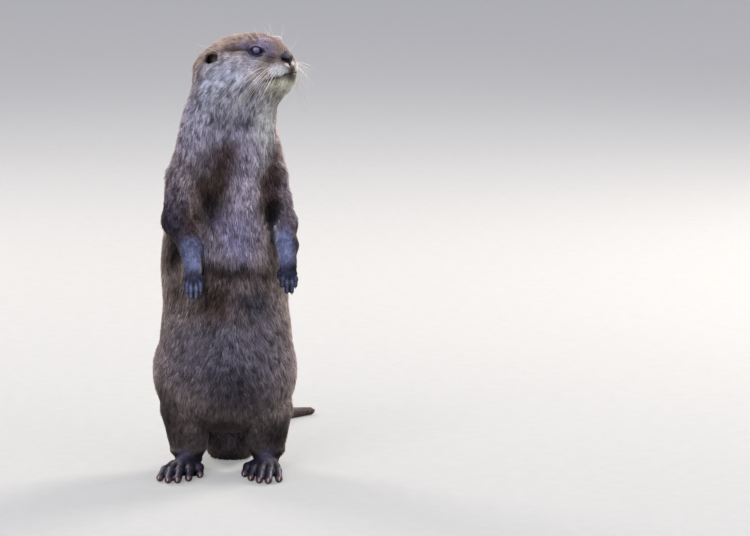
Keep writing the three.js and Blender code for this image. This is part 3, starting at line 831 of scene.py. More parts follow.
class Skin:
    """The skin's field: the outline sunk by the coat's depth, with the lids, folds, ears and toes worked in."""

    NEAR = 14.0
    # the place on the eye's ring, height and width of the lids' rim and of the crease round them
    RIM, CREASE = (1.22, 0.45, 0.8), (1.72, 0.55, 0.75)
    EAR_INSET = 0.35
    HOLLOW, HOLE = ((2.6, 3.4, 0.2), (8.0, 5.6, 8.4)), ((2.8, -1.0, 0.6), (5.4, 6.8, 6.4))

    def field(self, p: np.ndarray) -> np.ndarray:
        """The distance to the skin."""
        total = OUTLINE.field(p)
        near = np.abs(total) < self.NEAR
        if near.any():
            total[near] += LIE.read(p[near])[1][:, 0]
        on = near & ((p > HEAD_BOX[0]) & (p < HEAD_BOX[1])).all(1)
        if on.any():
            total[on] = self._face(HEAD_AXES.inside(p[on]), total[on])
        return np.maximum(total, -p[:, 2])

    def _face(self, h: np.ndarray, total: np.ndarray) -> np.ndarray:
        """Works the features of the head into its field.

        Args:
            h: Points in the head's frame.
            total: The field there so far.

        Returns:
            The field with the features in it.
        """
        both = folded(h)
        for fold in FOLDS:
            gap, share = line_gap(both, fold.line)
            sink = fold.sink[0] + (fold.sink[1] - fold.sink[0]) * share
            total = total + sink * swell(gap, fold.width)
        nose = nose_shape(h)
        total = cut(total + 1.5 * ramp(4.5, 0, nose), nose + 0.7, 0.5)
        return self._ear(both, self._eye(both, total))

    def _eye(self, both: np.ndarray, total: np.ndarray) -> np.ndarray:
        """Lids round the eyeball, parted over it."""
        e = EYE_AXES.inside(both)
        radius = lengths(e)
        corner = 1 + 0.16 * np.clip(e[:, 1] / EYE.half_width, 0, 1.5) ** 2
        high = EYE.half_height * np.where(e[:, 2] > 0, 1.0, 0.95)
        ring = np.hypot(e[:, 1] / (EYE.half_width * corner), e[:, 2] / high)
        front = ramp(-1, 2, e[:, 0])
        total = join(total, np.where(e[:, 0] > -2, radius - EYE.radius - EYE.lid, FAR), 3.0)
        rim, crease = ((ring - at) * EYE.half_height for at in (self.RIM[0], self.CREASE[0]))
        total = total - self.RIM[1] * swell(rim, self.RIM[2]) * front
        total = total + self.CREASE[1] * swell(crease, self.CREASE[2]) * front * ramp(-1, 1.5, e[:, 2])
        opening = np.maximum(np.maximum((ring - 1) * EYE.half_height, EYE.radius - 0.35 - radius), 1.5 - e[:, 0])
        return cut(total, opening, 0.5)

    def _ear(self, both: np.ndarray, total: np.ndarray) -> np.ndarray:
        """A round cup of thin skin with its hole."""
        e = EAR_AXES.inside(both)
        total = join(total, ellipsoid(e, (0, 0, 0), EAR_SIZE) + self.EAR_INSET, 2.0)
        return cut(cut(total, ellipsoid(e, *self.HOLLOW), 1.0), ellipsoid(e, *self.HOLE), 1.0)


SKIN = Skin()


# ---------------------------------------------------------------- meshing


@dataclass
class Surface:
    """A triangle mesh as arrays, in millimetres in the otter's frame."""

    points: np.ndarray
    faces: np.ndarray

    def corners(self) -> list[np.ndarray]:
        """The places of each face's three corners."""
        return [self.points[self.faces[:, i]] for i in range(3)]

    def crosses(self) -> np.ndarray:
        """Each face's normal, twice its area long."""
        a, b, c = self.corners()
        return np.cross(b - a, c - a)

    def normals(self) -> np.ndarray:
        """The normal at each point, one long."""
        total = np.zeros_like(self.points)
        crosses = self.crosses()
        for i in range(3):
            np.add.at(total, self.faces[:, i], crosses)
        return unit(total)

    def areas(self) -> np.ndarray:
        """Each face's area."""
        return lengths(self.crosses()) / 2

    def middles(self) -> np.ndarray:
        """The middle of each face."""
        return self.points[self.faces].mean(1)

    def turned_out(self) -> Surface:
        """The same surface with its faces pointing out."""
        a, b, c = self.corners()
        inward = (a * np.cross(b, c)).sum() < 0
        return Surface(self.points, self.faces[:, ::-1].copy() if inward else self.faces)


class Mesher:
    """Turns a field into a surface, on a grid that is finer in some bands of each axis."""

    BLOCK = 4  # grid points to a block
    CHUNK = 200000
    DEEPEST = 9.0
    PROBE = 0.15
    STRIDE = 0.3  # the longest step of a point, in pitches

    def __init__(
        self, shape: Shape, low: Row, high: Row, pitch: float, bands: Sequence[Sequence[Row]] = ((), (), ())
    ) -> None:
        """Keeps what is to be meshed.

        Args:
            shape: The field.
            low: The lowest corner of the box round it.
            high: The highest corner.
            pitch: How far apart the grid's points are.
            bands: For each axis, stretches of it as start, end and the pitch there.
        """
        self.shape = shape
        self.pitch = pitch
        self.lines = [self._line(*ends) for ends in zip(low, high, bands)]

    def _line(self, low: float, high: float, bands: Sequence[Row]) -> np.ndarray:
        """The places of the grid's points along one axis, a whole number of blocks of them."""
        places = [low]
        while places[-1] < high or len(places) % self.BLOCK:
            here = [pitch for start, end, pitch in bands if start <= places[-1] < end]
            places.append(places[-1] + min(here, default=self.pitch))
        return np.array(places)

    @staticmethod
    def _cells(counts: Sequence[int]) -> np.ndarray:
        """Every whole place in a box of so many along each axis."""
        return np.stack(np.meshgrid(*[np.arange(n) for n in counts], indexing="ij"), -1).reshape(-1, 3)

    def grid(self) -> np.ndarray:
        """The field on the grid, worked out only in the blocks that the surface may cross."""
        n = self.BLOCK
        blocks = [len(line) // n for line in self.lines]
        index = self._cells(blocks)
        corners = [line[index[:, i, None] * n + np.array([0, n - 1])] for i, line in enumerate(self.lines)]
        middles = np.stack([ends.mean(1) for ends in corners], 1)
        reach = lengths(np.stack([np.ptp(ends, axis=1) for ends in corners], 1)) / 2
        coarse = self.evaluate(middles)
        values = np.kron(coarse.reshape(blocks), np.ones((n, n, n)))
        near = index[np.abs(coarse) < reach * 1.2 + self.DEEPEST]
        fine = (near[:, None, :] * n + self._cells([n] * 3)[None]).reshape(-1, 3)
        places = np.stack([line[fine[:, i]] for i, line in enumerate(self.lines)], 1)
        values[tuple(fine.T)] = self.evaluate(places)
        return values.astype(np.float32)

    def evaluate(self, points: np.ndarray) -> np.ndarray:
        """The field at many points, in chunks."""
        return np.concatenate([self.shape(points[i : i + self.CHUNK]) for i in range(0, len(points), self.CHUNK)])

    def mesh(self) -> Surface:
        """The surface at the grid's pitch."""
        volume = openvdb.FloatGrid(FAR)
        volume.copyFromArray(self.grid())
        points, quads = volume.convertToQuads(isovalue=0.0)
        quads = quads.astype(np.int64)
        places = [np.interp(points[:, i], np.arange(len(line)), line) for i, line in enumerate(self.lines)]
        return Surface(np.stack(places, 1), np.vstack([quads[:, [0, 1, 2]], quads[:, [0, 2, 3]]]))

    def settle(self, surface: Surface, which: np.ndarray | slice = slice(None), rounds: int = 1) -> None:
        """Moves points onto the field's zero.

        Args:
            surface: The surface to mend.
            which: The points to move.
            rounds: How many times to step.
        """
        reach, probe = self.pitch * self.STRIDE, self.PROBE
        for _ in range(rounds):
            p = surface.points[which]
            sides = [(self.evaluate(p + axis), self.evaluate(p - axis)) for axis in np.eye(3) * probe]
            rise = np.stack([(after - before) / (2 * probe) for after, before in sides], 1)
            step = -self.evaluate(p)[:, None] * rise / np.maximum((rise**2).sum(1, keepdims=True), 0.2)
            length = np.linalg.norm(step, axis=1, keepdims=True)
            surface.points[which] = p + step * np.minimum(1, reach / np.maximum(length, 1e-9))


def refine(surface: Surface, wanted: np.ndarray) -> tuple[Surface, np.ndarray]:
    """Splits the wanted faces in four, and their neighbours so that no crack opens.

    Args:
        surface: The surface.
        wanted: Which faces to split.

    Returns:
        The finer surface, and the indices of its new points.
    """
    faces = surface.faces
    edges = np.sort(np.stack([faces, np.roll(faces, -1, 1)], 2), 2)
    keys = edges[:, :, 0] * len(surface.points) + edges[:, :, 1]
    split = np.unique(keys[wanted])
    spot = np.searchsorted(split, keys)
    hit = (spot < len(split)) & (split[np.minimum(spot, len(split) - 1)] == keys)
    first = len(surface.points)
    middles = (surface.points[split // first] + surface.points[split % first]) / 2
    points = np.vstack([surface.points, middles])
    mid = first + spot
    parts = [faces[hit.sum(1) == 0]]
    whole = hit.sum(1) == 3
    f, m = faces[whole], mid[whole]
    parts += [
        np.stack([f[:, 0], m[:, 0], m[:, 2]], 1),
        np.stack([m[:, 0], f[:, 1], m[:, 1]], 1),
        np.stack([m[:, 2], m[:, 1], f[:, 2]], 1),
        m,
    ]
    for k in range(3):
        a, b, c = k, (k + 1) % 3, (k + 2) % 3
        one = (hit.sum(1) == 1) & hit[:, a]
        f, m = faces[one], mid[one]
        parts += [np.stack([f[:, a], m[:, a], f[:, c]], 1), np.stack([m[:, a], f[:, b], f[:, c]], 1)]
        two = (hit.sum(1) == 2) & ~hit[:, c]
        f, m = faces[two], mid[two]
        parts += [
            np.stack([m[:, a], f[:, b], m[:, b]], 1),
            np.stack([f[:, a], m[:, a], m[:, b]], 1),
            np.stack([f[:, a], m[:, b], f[:, c]], 1),
        ]
    return Surface(points, np.vstack(parts)), np.arange(first, len(points))


# ---------------------------------------------------------------- markings with painted light and shade, shared by skin and coat


class Tone(Enum):
    """The otter's colours, with painted light and shade among them, from 0 to 255 as displayed."""

    CROWN = (127, 108, 102)
    BROW = (132, 128, 168)
    # painted highlight where the brow's tuft catches the light
    BROW_TUFT_HIGHLIGHT = (186, 164, 162)
    EYE_SKIN = (58, 50, 60)
    EYE_BLUE = (112, 106, 136)
    LID = (30, 24, 29)
    TEMPLE = (49, 40, 45)
    STREAK = (49, 39, 43)
    CHEEK = (172, 174, 195)
    JAW = (163, 163, 178)
    MUZZLE = (71, 59, 63)
    PAD = (236, 238, 250)
    CHIN = (236, 235, 209)
    CHIN_SHADE = (116, 112, 92)
    LIP = (44, 36, 40)
    LEATHER = (39, 33, 38)
    EAR_RIM = (95, 72, 69)
    EAR_PALE = (150, 142, 150)
    # painted shade deep in the ear's hole
    EAR_HOLE = (17, 13, 14)
    NAPE = (91, 69, 57)
    NAPE_STREAK = (80, 66, 68)
    NECK = (171, 167, 192)
    PALE_NECK = (239, 239, 239)
    THROAT = (38, 37, 43)
    BIB = (166, 158, 180)
    # dark warm brown fur, also laid as painted shade in the armpits
    UMBER = (63, 48, 46)
    # painted shade: the darkest hollows, in the armpits and between the arms and the body
    PIT_SHADE = (12, 8, 8)
    SHOULDER = (134, 122, 134)
    ARM = (55, 50, 63)
    # the forearms' short fur, painted pale blue-lilac with the sky's reflection along their fronts
    FOREARM_SKY_SHEEN = (110, 116, 153)
    EDGE = (157, 152, 165)
    HAND = (54, 57, 80)
    HAND_TIP = (34, 31, 38)
    DIGIT = (33, 35, 50)
    # painted highlight along the crests of the fingers
    KNUCKLE_HIGHLIGHT = (116, 123, 160)
    BELLY = (128, 123, 154)
    # painted shade along a fold across the belly
    CREASE = (38, 31, 30)
    FLANK = (154, 139, 136)
    GREY = (60, 58, 72)
    PARTING = (139, 141, 169)
    LOIN = (93, 90, 108)
    HIP = (128, 115, 128)
    THIGH = (50, 44, 50)
    GROIN = (47, 45, 56)
    # the tail's root between the feet, painted lighter to lift it out of the shade it sits in
    ROOT = (102, 94, 102)
    # painted shade in the groin and low on the legs
    CROTCH_SHADE = (26, 22, 29)
    BACK = (96, 82, 75)
    TAIL = (74, 63, 60)
    FOOT = (20, 18, 25)
    # painted lilac highlight over the top of each foot
    INSTEP_HIGHLIGHT = (88, 85, 109)
    TOE = (109, 80, 80)


@dataclass(frozen=True)
class Patch:
    """A patch of one tone, fading out at its edges.

    Attributes:
        tone: Its colour.
        line: Its middle, or the places of the line that it follows, in the head's frame or the otter's.
        reach: How far it reaches along x, y and z, or to each side of its line.
        strength: How far it covers what is under it.
        edge: How sharp its edge is: 1 is soft.
        on_head: Whether it is in the head's frame, mirrored to both sides of it.
    """

    tone: Tone
    line: tuple[Row, ...]
    reach: Row
    strength: float = 1.0
    edge: float = 1.5
    on_head: bool = False

    def cover(self, p: np.ndarray, h: np.ndarray) -> np.ndarray:
        """How far it covers each point, from 0 to 1.

        Args:
            p: The points in the otter's frame.
            h: The same points in the head's frame, on its left side.
        """
        q = h if self.on_head else p
        if len(self.line) > 1:
            gap = line_gap(q, self.line)[0] / self.reach[0]
        else:
            gap = lengths((q - self.line[0]) / self.reach)
        return self.strength * np.exp(-(gap ** (2 * self.edge)))


def spot(tone: Tone, at: Row, reach: Row, strength: float = 1.0, edge: float = 1.5) -> Patch:
    """A patch of the body."""
    return Patch(tone, (at,), reach, strength, edge)


def face(tone: Tone, at: Row, reach: Row, strength: float = 1.0, edge: float = 1.5) -> Patch:
    """A patch of the head, on both sides."""
    return Patch(tone, (at,), reach, strength, edge, True)


WHISKER_ROWS = 4
WHISKERS_IN_ROW = 5


def whisker_roots() -> list[Row]:
    """Where the whiskers stand on the left pad, in the head's frame."""
    return [
        (49.0 - 3.4 * i - 0.7 * row, 14.0 + 2.1 * i + 0.5 * row, -3.6 - 2.5 * row - 0.15 * i)
        for row in range(WHISKER_ROWS)
        for i in range(WHISKERS_IN_ROW)
    ]


# Dark brown fur round the armpits, laid with painted shade that deepens into their hollows.
ARMPITS: tuple[Patch, ...] = (
    Patch(Tone.UMBER, ((-1, -50, 377), (-4, -50, 358), (-9, -49, 342)), (20.0,), 0.96, 1.4),
    Patch(Tone.UMBER, ((-17, -47, 334), (-13, -48, 310)), (18.5,), 0.97, 1.5),
    spot(Tone.UMBER, (-35, -50, 296), (13, 26, 26), 0.93),
    Patch(Tone.UMBER, ((61, -15, 374), (54, -21, 356), (49.5, -25, 344), (48.5, -29, 322)), (13.5,), 0.95, 1.5),
    spot(Tone.UMBER, (-25, -48, 366), (18, 26, 22), 0.45),
    # painted shade deep in the armpits
    Patch(Tone.PIT_SHADE, ((-16, -47, 324), (-10, -48, 304)), (13.5,), 0.92, 1.3),
    Patch(Tone.PIT_SHADE, ((51, -29, 319), (49, -30, 302)), (9.5,), 0.92, 1.4),
)
MARKINGS: tuple[Patch, ...] = (
    # neck and chest
    spot(Tone.NECK, (-30, -30, 405), (62, 60, 52)),
    spot(Tone.NECK, (20, -50, 400), (60, 40, 46)),
    spot(Tone.PALE_NECK, (51, -38, 406), (21, 28, 46), 0.92),
    spot(Tone.THROAT, (18, -56, 415), (24, 26, 14), 0.88, 1.0),
    spot(Tone.BIB, (18, -52, 378), (40, 40, 20), 0.9),
    spot(Tone.BIB, (18, -52, 335), (22, 40, 62), 0.95),
    spot(Tone.SHOULDER, (-60, -20, 345), (28, 50, 48)),
    spot(Tone.SHOULDER, (74, -10, 345), (18, 50, 48)),
    *ARMPITS,
    # flanks, belly
    spot(Tone.BELLY, (16, -54, 280), (33, 30, 38)),
    spot(Tone.FLANK, (-66, -20, 215), (20, 60, 45)),
    spot(Tone.LOIN, (-22, -52, 268), (15, 25, 26), 0.8),
    # painted shade along a fold across the belly
    spot(Tone.CREASE, (12, -57, 243), (46, 25, 13), 0.95),
    spot(Tone.CREASE, (-20, -52, 249), (22, 25, 10), 0.85),
    spot(Tone.CREASE, (46, -50, 240), (20, 25, 11), 0.9),
    spot(Tone.UMBER, (-64, -22, 262), (14, 24, 24), 0.55),
    spot(Tone.NAPE, (-54, 0, 424), (17, 30, 46), 0.85),
    # painted shade in the hollows between the forearms and the flanks
    spot(Tone.PIT_SHADE, (-54, -36, 262), (12, 24, 22), 0.97),
    spot(Tone.PIT_SHADE, (54, -42, 262), (9, 20, 19), 0.95),
    spot(Tone.LOIN, (0, -50, 150), (84, 50, 62), 0.9),
    spot(Tone.GREY, (36, -52, 203), (26, 30, 22), 0.8),
    spot(Tone.GREY, (31, -57, 218), (27, 26, 14), 0.88),
    spot(Tone.UMBER, (-9, -57, 209), (25, 28, 27), 0.95),
    spot(Tone.UMBER, (-54, -44, 220), (16, 26, 20), 0.75),
    # painted shade on the belly beside the right hand
    spot(Tone.PIT_SHADE, (-8, -57, 223), (18, 25, 9), 0.55),
    Patch(Tone.PARTING, ((11, -58, 228), (12, -60, 190), (12, -61, 150)), (5.0,), 0.75, 1.2),
    spot(Tone.HIP, (-80, -10, 148), (16, 40, 30), 0.8),
    spot(Tone.HIP, (80, -10, 148), (14, 40, 32), 0.7),
    spot(Tone.THIGH, (0, -20, 48), (96, 80, 36), 0.75),
    spot(Tone.THIGH, (-72, -10, 72), (20, 60, 38), 0.85),
    spot(Tone.GROIN, (6, -56, 108), (26, 30, 30), 0.75),
    spot(Tone.GROIN, (38, -50, 90), (20, 30, 24), 0.6),
    # painted shade in the hollow of the groin
    spot(Tone.CROTCH_SHADE, (-3, -40, 56), (22, 60, 17), 0.95),
    # the tail's root, painted lighter against the shade between the feet
    spot(Tone.ROOT, (0, 10, 30), (33, 46, 42), 0.95, 2.5),
    # painted shade low on the left leg
    spot(Tone.CROTCH_SHADE, (62, -25, 46), (20, 40, 28), 0.75),
    # face
    face(Tone.CHEEK, (-4, 40, -10), (30, 40, 19)),
    face(Tone.CHEEK, (-24, 48, -24), (16, 40, 22), 0.9),
    face(Tone.JAW, (10, 34, -34), (28, 30, 17), 0.8),
    face(Tone.THROAT, (22, 31, -25), (9, 10, 6), 0.5, 1.0),
    face(Tone.BROW, (30, 14, 20), (12, 8, 6), 0.85),
    face(Tone.NAPE, (-56, 10, -10), (18, 40, 40), 0.9),
    face(Tone.TEMPLE, (4, 30, 19), (16, 8, 5), 0.85),
    face(Tone.EYE_BLUE, (13, 24, 21), (8, 6, 4), 0.7),
    face(Tone.EYE_SKIN, (24, 26, 14), (9.5, 7, 6.6), 0.95, 2.5),
    face(Tone.EYE_BLUE, (36, 17, 13), (9, 8, 6), 0.8),
    face(Tone.MUZZLE, (40, 17, 5), (10, 9, 5.5), 0.95),
    face(Tone.CHEEK, (22, 29, 1), (9, 6, 4), 0.6),
    face(Tone.PAD, (46, 16, -8.5), (11.5, 11, 6.5), 1.0, 2.0),
    face(Tone.CHIN, (48, 6, -25), (15, 20, 11), 0.9, 1.1),
    face(Tone.CHIN_SHADE, (38, 10, -33), (8, 9, 6), 0.45),
    face(Tone.LEATHER, (50, 9, 4), (4.5, 5, 6), 0.9),
    # painted shade along the tail of each nostril
    Patch(Tone.LIP, ((50, 10.3, 1.0), (48, 12.4, 3.4), (45.6, 14.2, 5.8)), (1.2,), 0.9, 1.0, True),
    Patch(Tone.LIP, ((54, 0, -4), (54, 0, -14)), (1.9,), 0.95, 1.4, True),
    Patch(Tone.STREAK, ((14, 27, 14.5), (4, 29.5, 15), (-10, 32, 14.5)), (2.3,), 0.85, 1.0, True),
    Patch(Tone.STREAK, ((27, 16, 23.5), (20, 19, 24)), (1.6,), 0.6, 1.0, True),
    Patch(Tone.NAPE_STREAK, ((-34, 43, 0), (-34, 50, -16), (-30, 55, -34)), (4.5,), 0.7, 1.0, True),
    Patch(Tone.LIP, MOUTH, (1.9,), 0.97, 1.4, True),
    face(Tone.LIP, (53, 2, -16.5), (5, 8, 3.4), 0.92),
    face(Tone.MUZZLE, (54, 1, -9.5), (5, 7, 5), 0.85),
    face(Tone.TEMPLE, (-25, 37, 15), (11, 9, 5), 0.5),
    # painted highlight on the brow's tuft
    Patch(Tone.BROW_TUFT_HIGHLIGHT, ((38, 12, 22), (30, 15, 26)), (4.2,), 0.75, 1.0, True),
)
LIMB_MARKINGS: tuple[Patch, ...] = (
    spot(Tone.SHOULDER, (-54, -20, 345), (40, 60, 34)),
    spot(Tone.SHOULDER, (70, -10, 345), (40, 50, 30)),
    spot(Tone.ARM, (-50, -42, 298), (34, 40, 27), 0.9, 1.2),
    spot(Tone.SHOULDER, (76, -10, 318), (19, 30, 36), 0.85),
    spot(Tone.ARM, (-70, -20, 318), (14, 30, 18), 0.5),
    *ARMPITS,
    # painted sky reflection down the fronts of the forearms
    spot(Tone.FOREARM_SKY_SHEEN, (-37, -62, 258), (16, 24, 21)),
    spot(Tone.FOREARM_SKY_SHEEN, (66, -46, 266), (13, 26, 24)),
    spot(Tone.UMBER, (82, -26, 276), (7, 30, 36), 0.8),
    spot(Tone.HAND, (-35, -66, 216), (24, 26, 18)),
    spot(Tone.HAND, (71, -58, 224), (24, 26, 24)),
    spot(Tone.HAND_TIP, (-34, -72, 206), (22, 16, 9), 0.8),
    spot(Tone.HAND_TIP, (71, -62, 212), (22, 16, 11), 0.8),
    Patch(Tone.EDGE, ((-27, -48, 302), (-25, -58, 276), (-26, -66, 244)), (3.4,), 0.75, 1.2),
    Patch(Tone.EDGE, ((58, -30, 294), (56, -36, 276), (60, -44, 258)), (2.6,), 0.6, 1.2),
)


class Paint:
    """Colours at some points, laid one over another."""

    def __init__(self, tone: Tone, count: int) -> None:
        """Starts with one tone all over."""
        self.colours = np.tile(linear(tone.value), (count, 1))

    def lay(self, tone: Tone, cover: np.ndarray) -> None:
        """Lays a tone over the colours so far."""
        self.colours = self.colours + cover[:, None] * (linear(tone.value) - self.colours)


class Markings:
    """The otter's colours all over, painted light and shade included, the same for skin and coat."""

    CROWN_LINE: tuple[Row, ...] = ((-75, -30), (-52, -6), (-36, 8), (-22, 14.5), (10, 15), (40, 12), (60, 8))
    # how strongly the painted knuckle highlights cover, on each side
    KNUCKLE_HIGHLIGHTS = {RIGHT: 0.7, LEFT: 0.35}

    def colour(self, points: np.ndarray) -> np.ndarray:
        """The colour at points, in linear light.

        Args:
            points: The points in the otter's frame.

        Returns:
            Red, green and blue in columns.
        """
        shift = wander(points, 9.0, 11)
        p = points + 2.2 * shift
        h = folded(HEAD_AXES.inside(points + 0.8 * shift))
        body = Paint(Tone.FLANK, len(p))
        body.lay(Tone.BACK, ramp(5, 45, p[:, 1]) * ramp(420, 380, p[:, 2]))
        body.lay(Tone.TAIL, ramp(60, 95, p[:, 1]) * ramp(110, 60, p[:, 2]))
        for patch in MARKINGS:
            body.lay(patch.tone, patch.cover(p, h))
            if patch.tone is Tone.THROAT and patch.on_head:
                body.lay(Tone.CROWN, self._crown(p, h))
        nape = ramp(-34, -50, h[:, 0]) * ramp(4, 22, p[:, 1]) * ramp(345, 365, p[:, 2])
        body.lay(Tone.NAPE, 0.85 * nape)
        limb = Paint(Tone.ARM, len(p))
        for patch in LIMB_MARKINGS:
            limb.lay(patch.tone, patch.cover(p, h))
        hold = np.max([leg.hold(points) for leg in FORELEGS], 0)[:, None]
        body.colours = body.colours + hold * (limb.colours - body.colours)
        self._feet(body, points)
        self._hands(body, points)
        self._face(body, h)
        return body.colours

    def _crown(self, p: np.ndarray, h: np.ndarray) -> np.ndarray:
        """How far each point lies over the line from the eye to the ear and the nape."""
        line = through(self.CROWN_LINE, np.clip(h[:, 0], self.CROWN_LINE[0][0], self.CROWN_LINE[-1][0]))[0]
        return ramp(-2.0, 2.5, h[:, 2] - line) * ramp(-80, -66, h[:, 0]) * ramp(400, 432, p[:, 2])

    @staticmethod
    def _feet(paint: Paint, p: np.ndarray) -> None:
        """Bare dark feet with a painted lilac highlight over the instep, and pale toe tips."""
        paint.lay(Tone.FOOT, ramp(29, 20, p[:, 2]) * ramp(30, 10, p[:, 1]))
        for leg in HIND_LEGS:
            q = (leg.foot_axes.inside(p) - (20, 2 * leg.side, 24)) / (18, 9, 9)
            paint.lay(Tone.INSTEP_HIGHLIGHT, 0.8 * np.exp(-((q**2).sum(1) ** 1.2)))
            for digit in TOES.chains(leg.side):
                tip = leg.foot_axes.outside(digit[-1][:3])
                gap = lengths(p - tip - (0, -3, -1))
                paint.lay(Tone.TOE, 0.8 * np.exp(-((gap / 3.8) ** 4)))

    def _hands(self, paint: Paint, p: np.ndarray) -> None:
        """Dark fingers with painted highlights along their crests."""
        for leg in FORELEGS:
            q = leg.hand_axes.inside(p)
            near = ramp(2.0, 1.0, leg.hand_field(p))
            digits = FINGERS.chains(leg.side)
            for digit in digits:
                gap = line_gap(q, [row[:3] for row in digit])[0]
                paint.lay(Tone.DIGIT, 0.8 * near * ramp(6.5, 4.5, gap))
            # painted highlight along each finger's crest
            for digit in digits:
                crest = line_gap(q, [(x, y, z + r) for x, y, z, r in digit])[0]
                paint.lay(Tone.KNUCKLE_HIGHLIGHT, self.KNUCKLE_HIGHLIGHTS[leg.side] * near * swell(crest, 1.6))

    @staticmethod
    def _face(paint: Paint, h: np.ndarray) -> None:
        """Lays the whiskers' dark roots, the lids and the insides of the ears, with painted shade deep in the ears'
        holes.

        Args:
            paint: The colours so far.
            h: The points in the head's frame, folded on to one side.
        """
        for root in whisker_roots():
            paint.lay(Tone.LIP, 0.85 * swell(lengths(h - root), 0.95))
        e = EYE_AXES.inside(h)
        ring = EYE.ring(e)
        lid = ramp(-1, 2, e[:, 0])
        paint.lay(Tone.EYE_BLUE, 0.75 * lid * ramp(2.2, 1.9, ring) * ramp(0, -2, e[:, 2]))
        paint.lay(Tone.LID, 0.97 * lid * ramp(1.5, 1.25, EYE.ring(e, 1.25)))
        paint.lay(Tone.BROW, 0.7 * lid * swell(ring - 1.72, 0.14) * ramp(-1, -3, e[:, 2]))
        ear = EAR_AXES.inside(h)
        rim = ramp(1.35, 1.1, lengths(ear / EAR_SIZE))
        paint.lay(Tone.EAR_RIM, rim)
        paint.lay(Tone.EAR_PALE, rim * ramp(-4, -8, ear[:, 0]) * 0.6)
        # painted shade deep in each ear's hole
        inside = lengths((ear - (2.4, 2.6, 0.2)) / (8.8, 7.0, 8.2))
        paint.lay(Tone.EAR_HOLE, ramp(1.08, 0.9, inside))


MARKS = Markings()


def shortness(p: np.ndarray) -> np.ndarray:
    """How short and flat the coat is at points, from 0 to 1 at the mouth, nose, eyes and ears."""
    h = HEAD_AXES.inside(p)
    both = folded(h)
    ear = lengths(EAR_AXES.inside(both) - (2, 2, -1))
    eye = lengths(EYE_AXES.inside(both) - (6, 0, 0))
    mouth, nose = line_gap(both, MOUTH)[0], nose_shape(h)
    return np.max([ramp(4.5, 1.5, mouth), ramp(3.5, 1.0, nose), ramp(15, 10, ear), ramp(12, 8, eye)], 0)


def bareness(p: np.ndarray) -> np.ndarray:
    """How bare the skin is.

    Args:
        p: Points.

    Returns:
        A share for each point, from 0 where it is coated to 1 on the soles, palms and digits.
    """
    h = HEAD_AXES.inside(p)
    both = folded(h)
    nose = lengths((h - (52.5, 0, 1.5)) / (6, 10.5, 9.5))
    e = EYE_AXES.inside(both)
    ear = lengths((EAR_AXES.inside(both) - (3.6, 2.6, 0.4)) / (6.4, 6.2, 7.0))
    bare = [
        ramp(28, 12, p[:, 2] + 3 * noise(p, 5.0, 21)) * ramp(30, 12, p[:, 1]),
        ramp(1.1, 0.9, nose),
        0.9 * ramp(1.7, 0.9, line_gap(both, MOUTH)[0]),
        ramp(1.75, 1.35, EYE.ring(e)) * ramp(0, 2, e[:, 0]),
        ramp(1.1, 0.95, ear),
    ]
    for leg in FORELEGS:
        q = leg.hand_axes.inside(p)
        bare.append(ramp(2.0, 1.0, leg.hand_field(p)) * ramp(8, 17, q[:, 0] - 6 * np.clip(q[:, 2] / 5, -1, 1)))
    return np.max(bare, 0)


# ---------------------------------------------------------------- materials


class Value:
    """A shader socket that takes part in arithmetic."""

    def __init__(self, graph: Graph, socket: bpy.types.NodeSocket) -> None:
        """Wraps an output socket of a graph."""
        self.graph = graph
        self.socket = socket

    def _do(self, operation: str, *terms: Value | float) -> Value:
        """Adds a Math node."""
        return self.graph.node("ShaderNodeMath", {"operation": operation}, dict(enumerate(terms)))[0]

    def __add__(self, other: Value | float) -> Value:
        """self + other."""
        return self._do("ADD", self, other)

    def __sub__(self, other: Value | float) -> Value:
        """self - other."""
        return self._do("SUBTRACT", self, other)

    def __rsub__(self, other: float) -> Value:
        """other - self."""
        return self._do("SUBTRACT", other, self)

    def __mul__(self, other: Value | float) -> Value:
        """self * other."""
        return self._do("MULTIPLY", self, other)

    __rmul__ = __mul__


class Graph:
    """A node tree."""

    def __init__(self, tree: bpy.types.NodeTree) -> None:
        """Empties a tree."""
        self.tree = tree
        tree.nodes.clear()

    def node(self, kind: str, settings: dict[str, object], inputs: dict[int | str, object]) -> list[Value]:
        """Adds a node.

        Args:
            kind: Its type.
            settings: Its settings, set before its sockets.
            inputs: The values or links of its sockets, by index or name; a colour may leave out its alpha.

        Returns:
            Its outputs.
        """
        made = self.tree.nodes.new(kind)
        for key, value in settings.items():
            setattr(made, key, value)
        for key, value in inputs.items():
            socket = made.inputs[key]
            if isinstance(value, Value):
                self.tree.links.new(value.socket, socket)
            else:
                socket.default_value = (*value, 1)[:4] if socket.type == "RGBA" else value
        return [Value(self, socket) for socket in made.outputs]

    def fit(self, value: Value, low: float, high: float, to_low: float, to_high: float) -> Value:
        """Fits a value from one range to another, held at its ends."""
        return self.node("ShaderNodeMapRange", {}, {0: value, 1: low, 2: high, 3: to_low, 4: to_high})[0]

    def blend(self, factor: Value, a: Value | Row, b: Value | Row) -> Value:
        """One colour over another."""
        return self.node("ShaderNodeMix", {"data_type": "RGBA"}, {0: factor, 6: a, 7: b})[2]

    def bands(self, at: Value, *stops: tuple[float, Row]) -> Value:
        """A colour ramp through two stops, each a place and a colour."""
        made = self.node("ShaderNodeValToRGB", {}, {0: at})[0]
        for element, (place, colour) in zip(made.socket.node.color_ramp.elements, stops):
            element.position, element.color = place, (*colour, 1)
        return made

    def rays(self) -> dict[str, Value]:
        """What a ray is, by name."""
        return {value.socket.name: value for value in self.node("ShaderNodeLightPath", {}, {})}


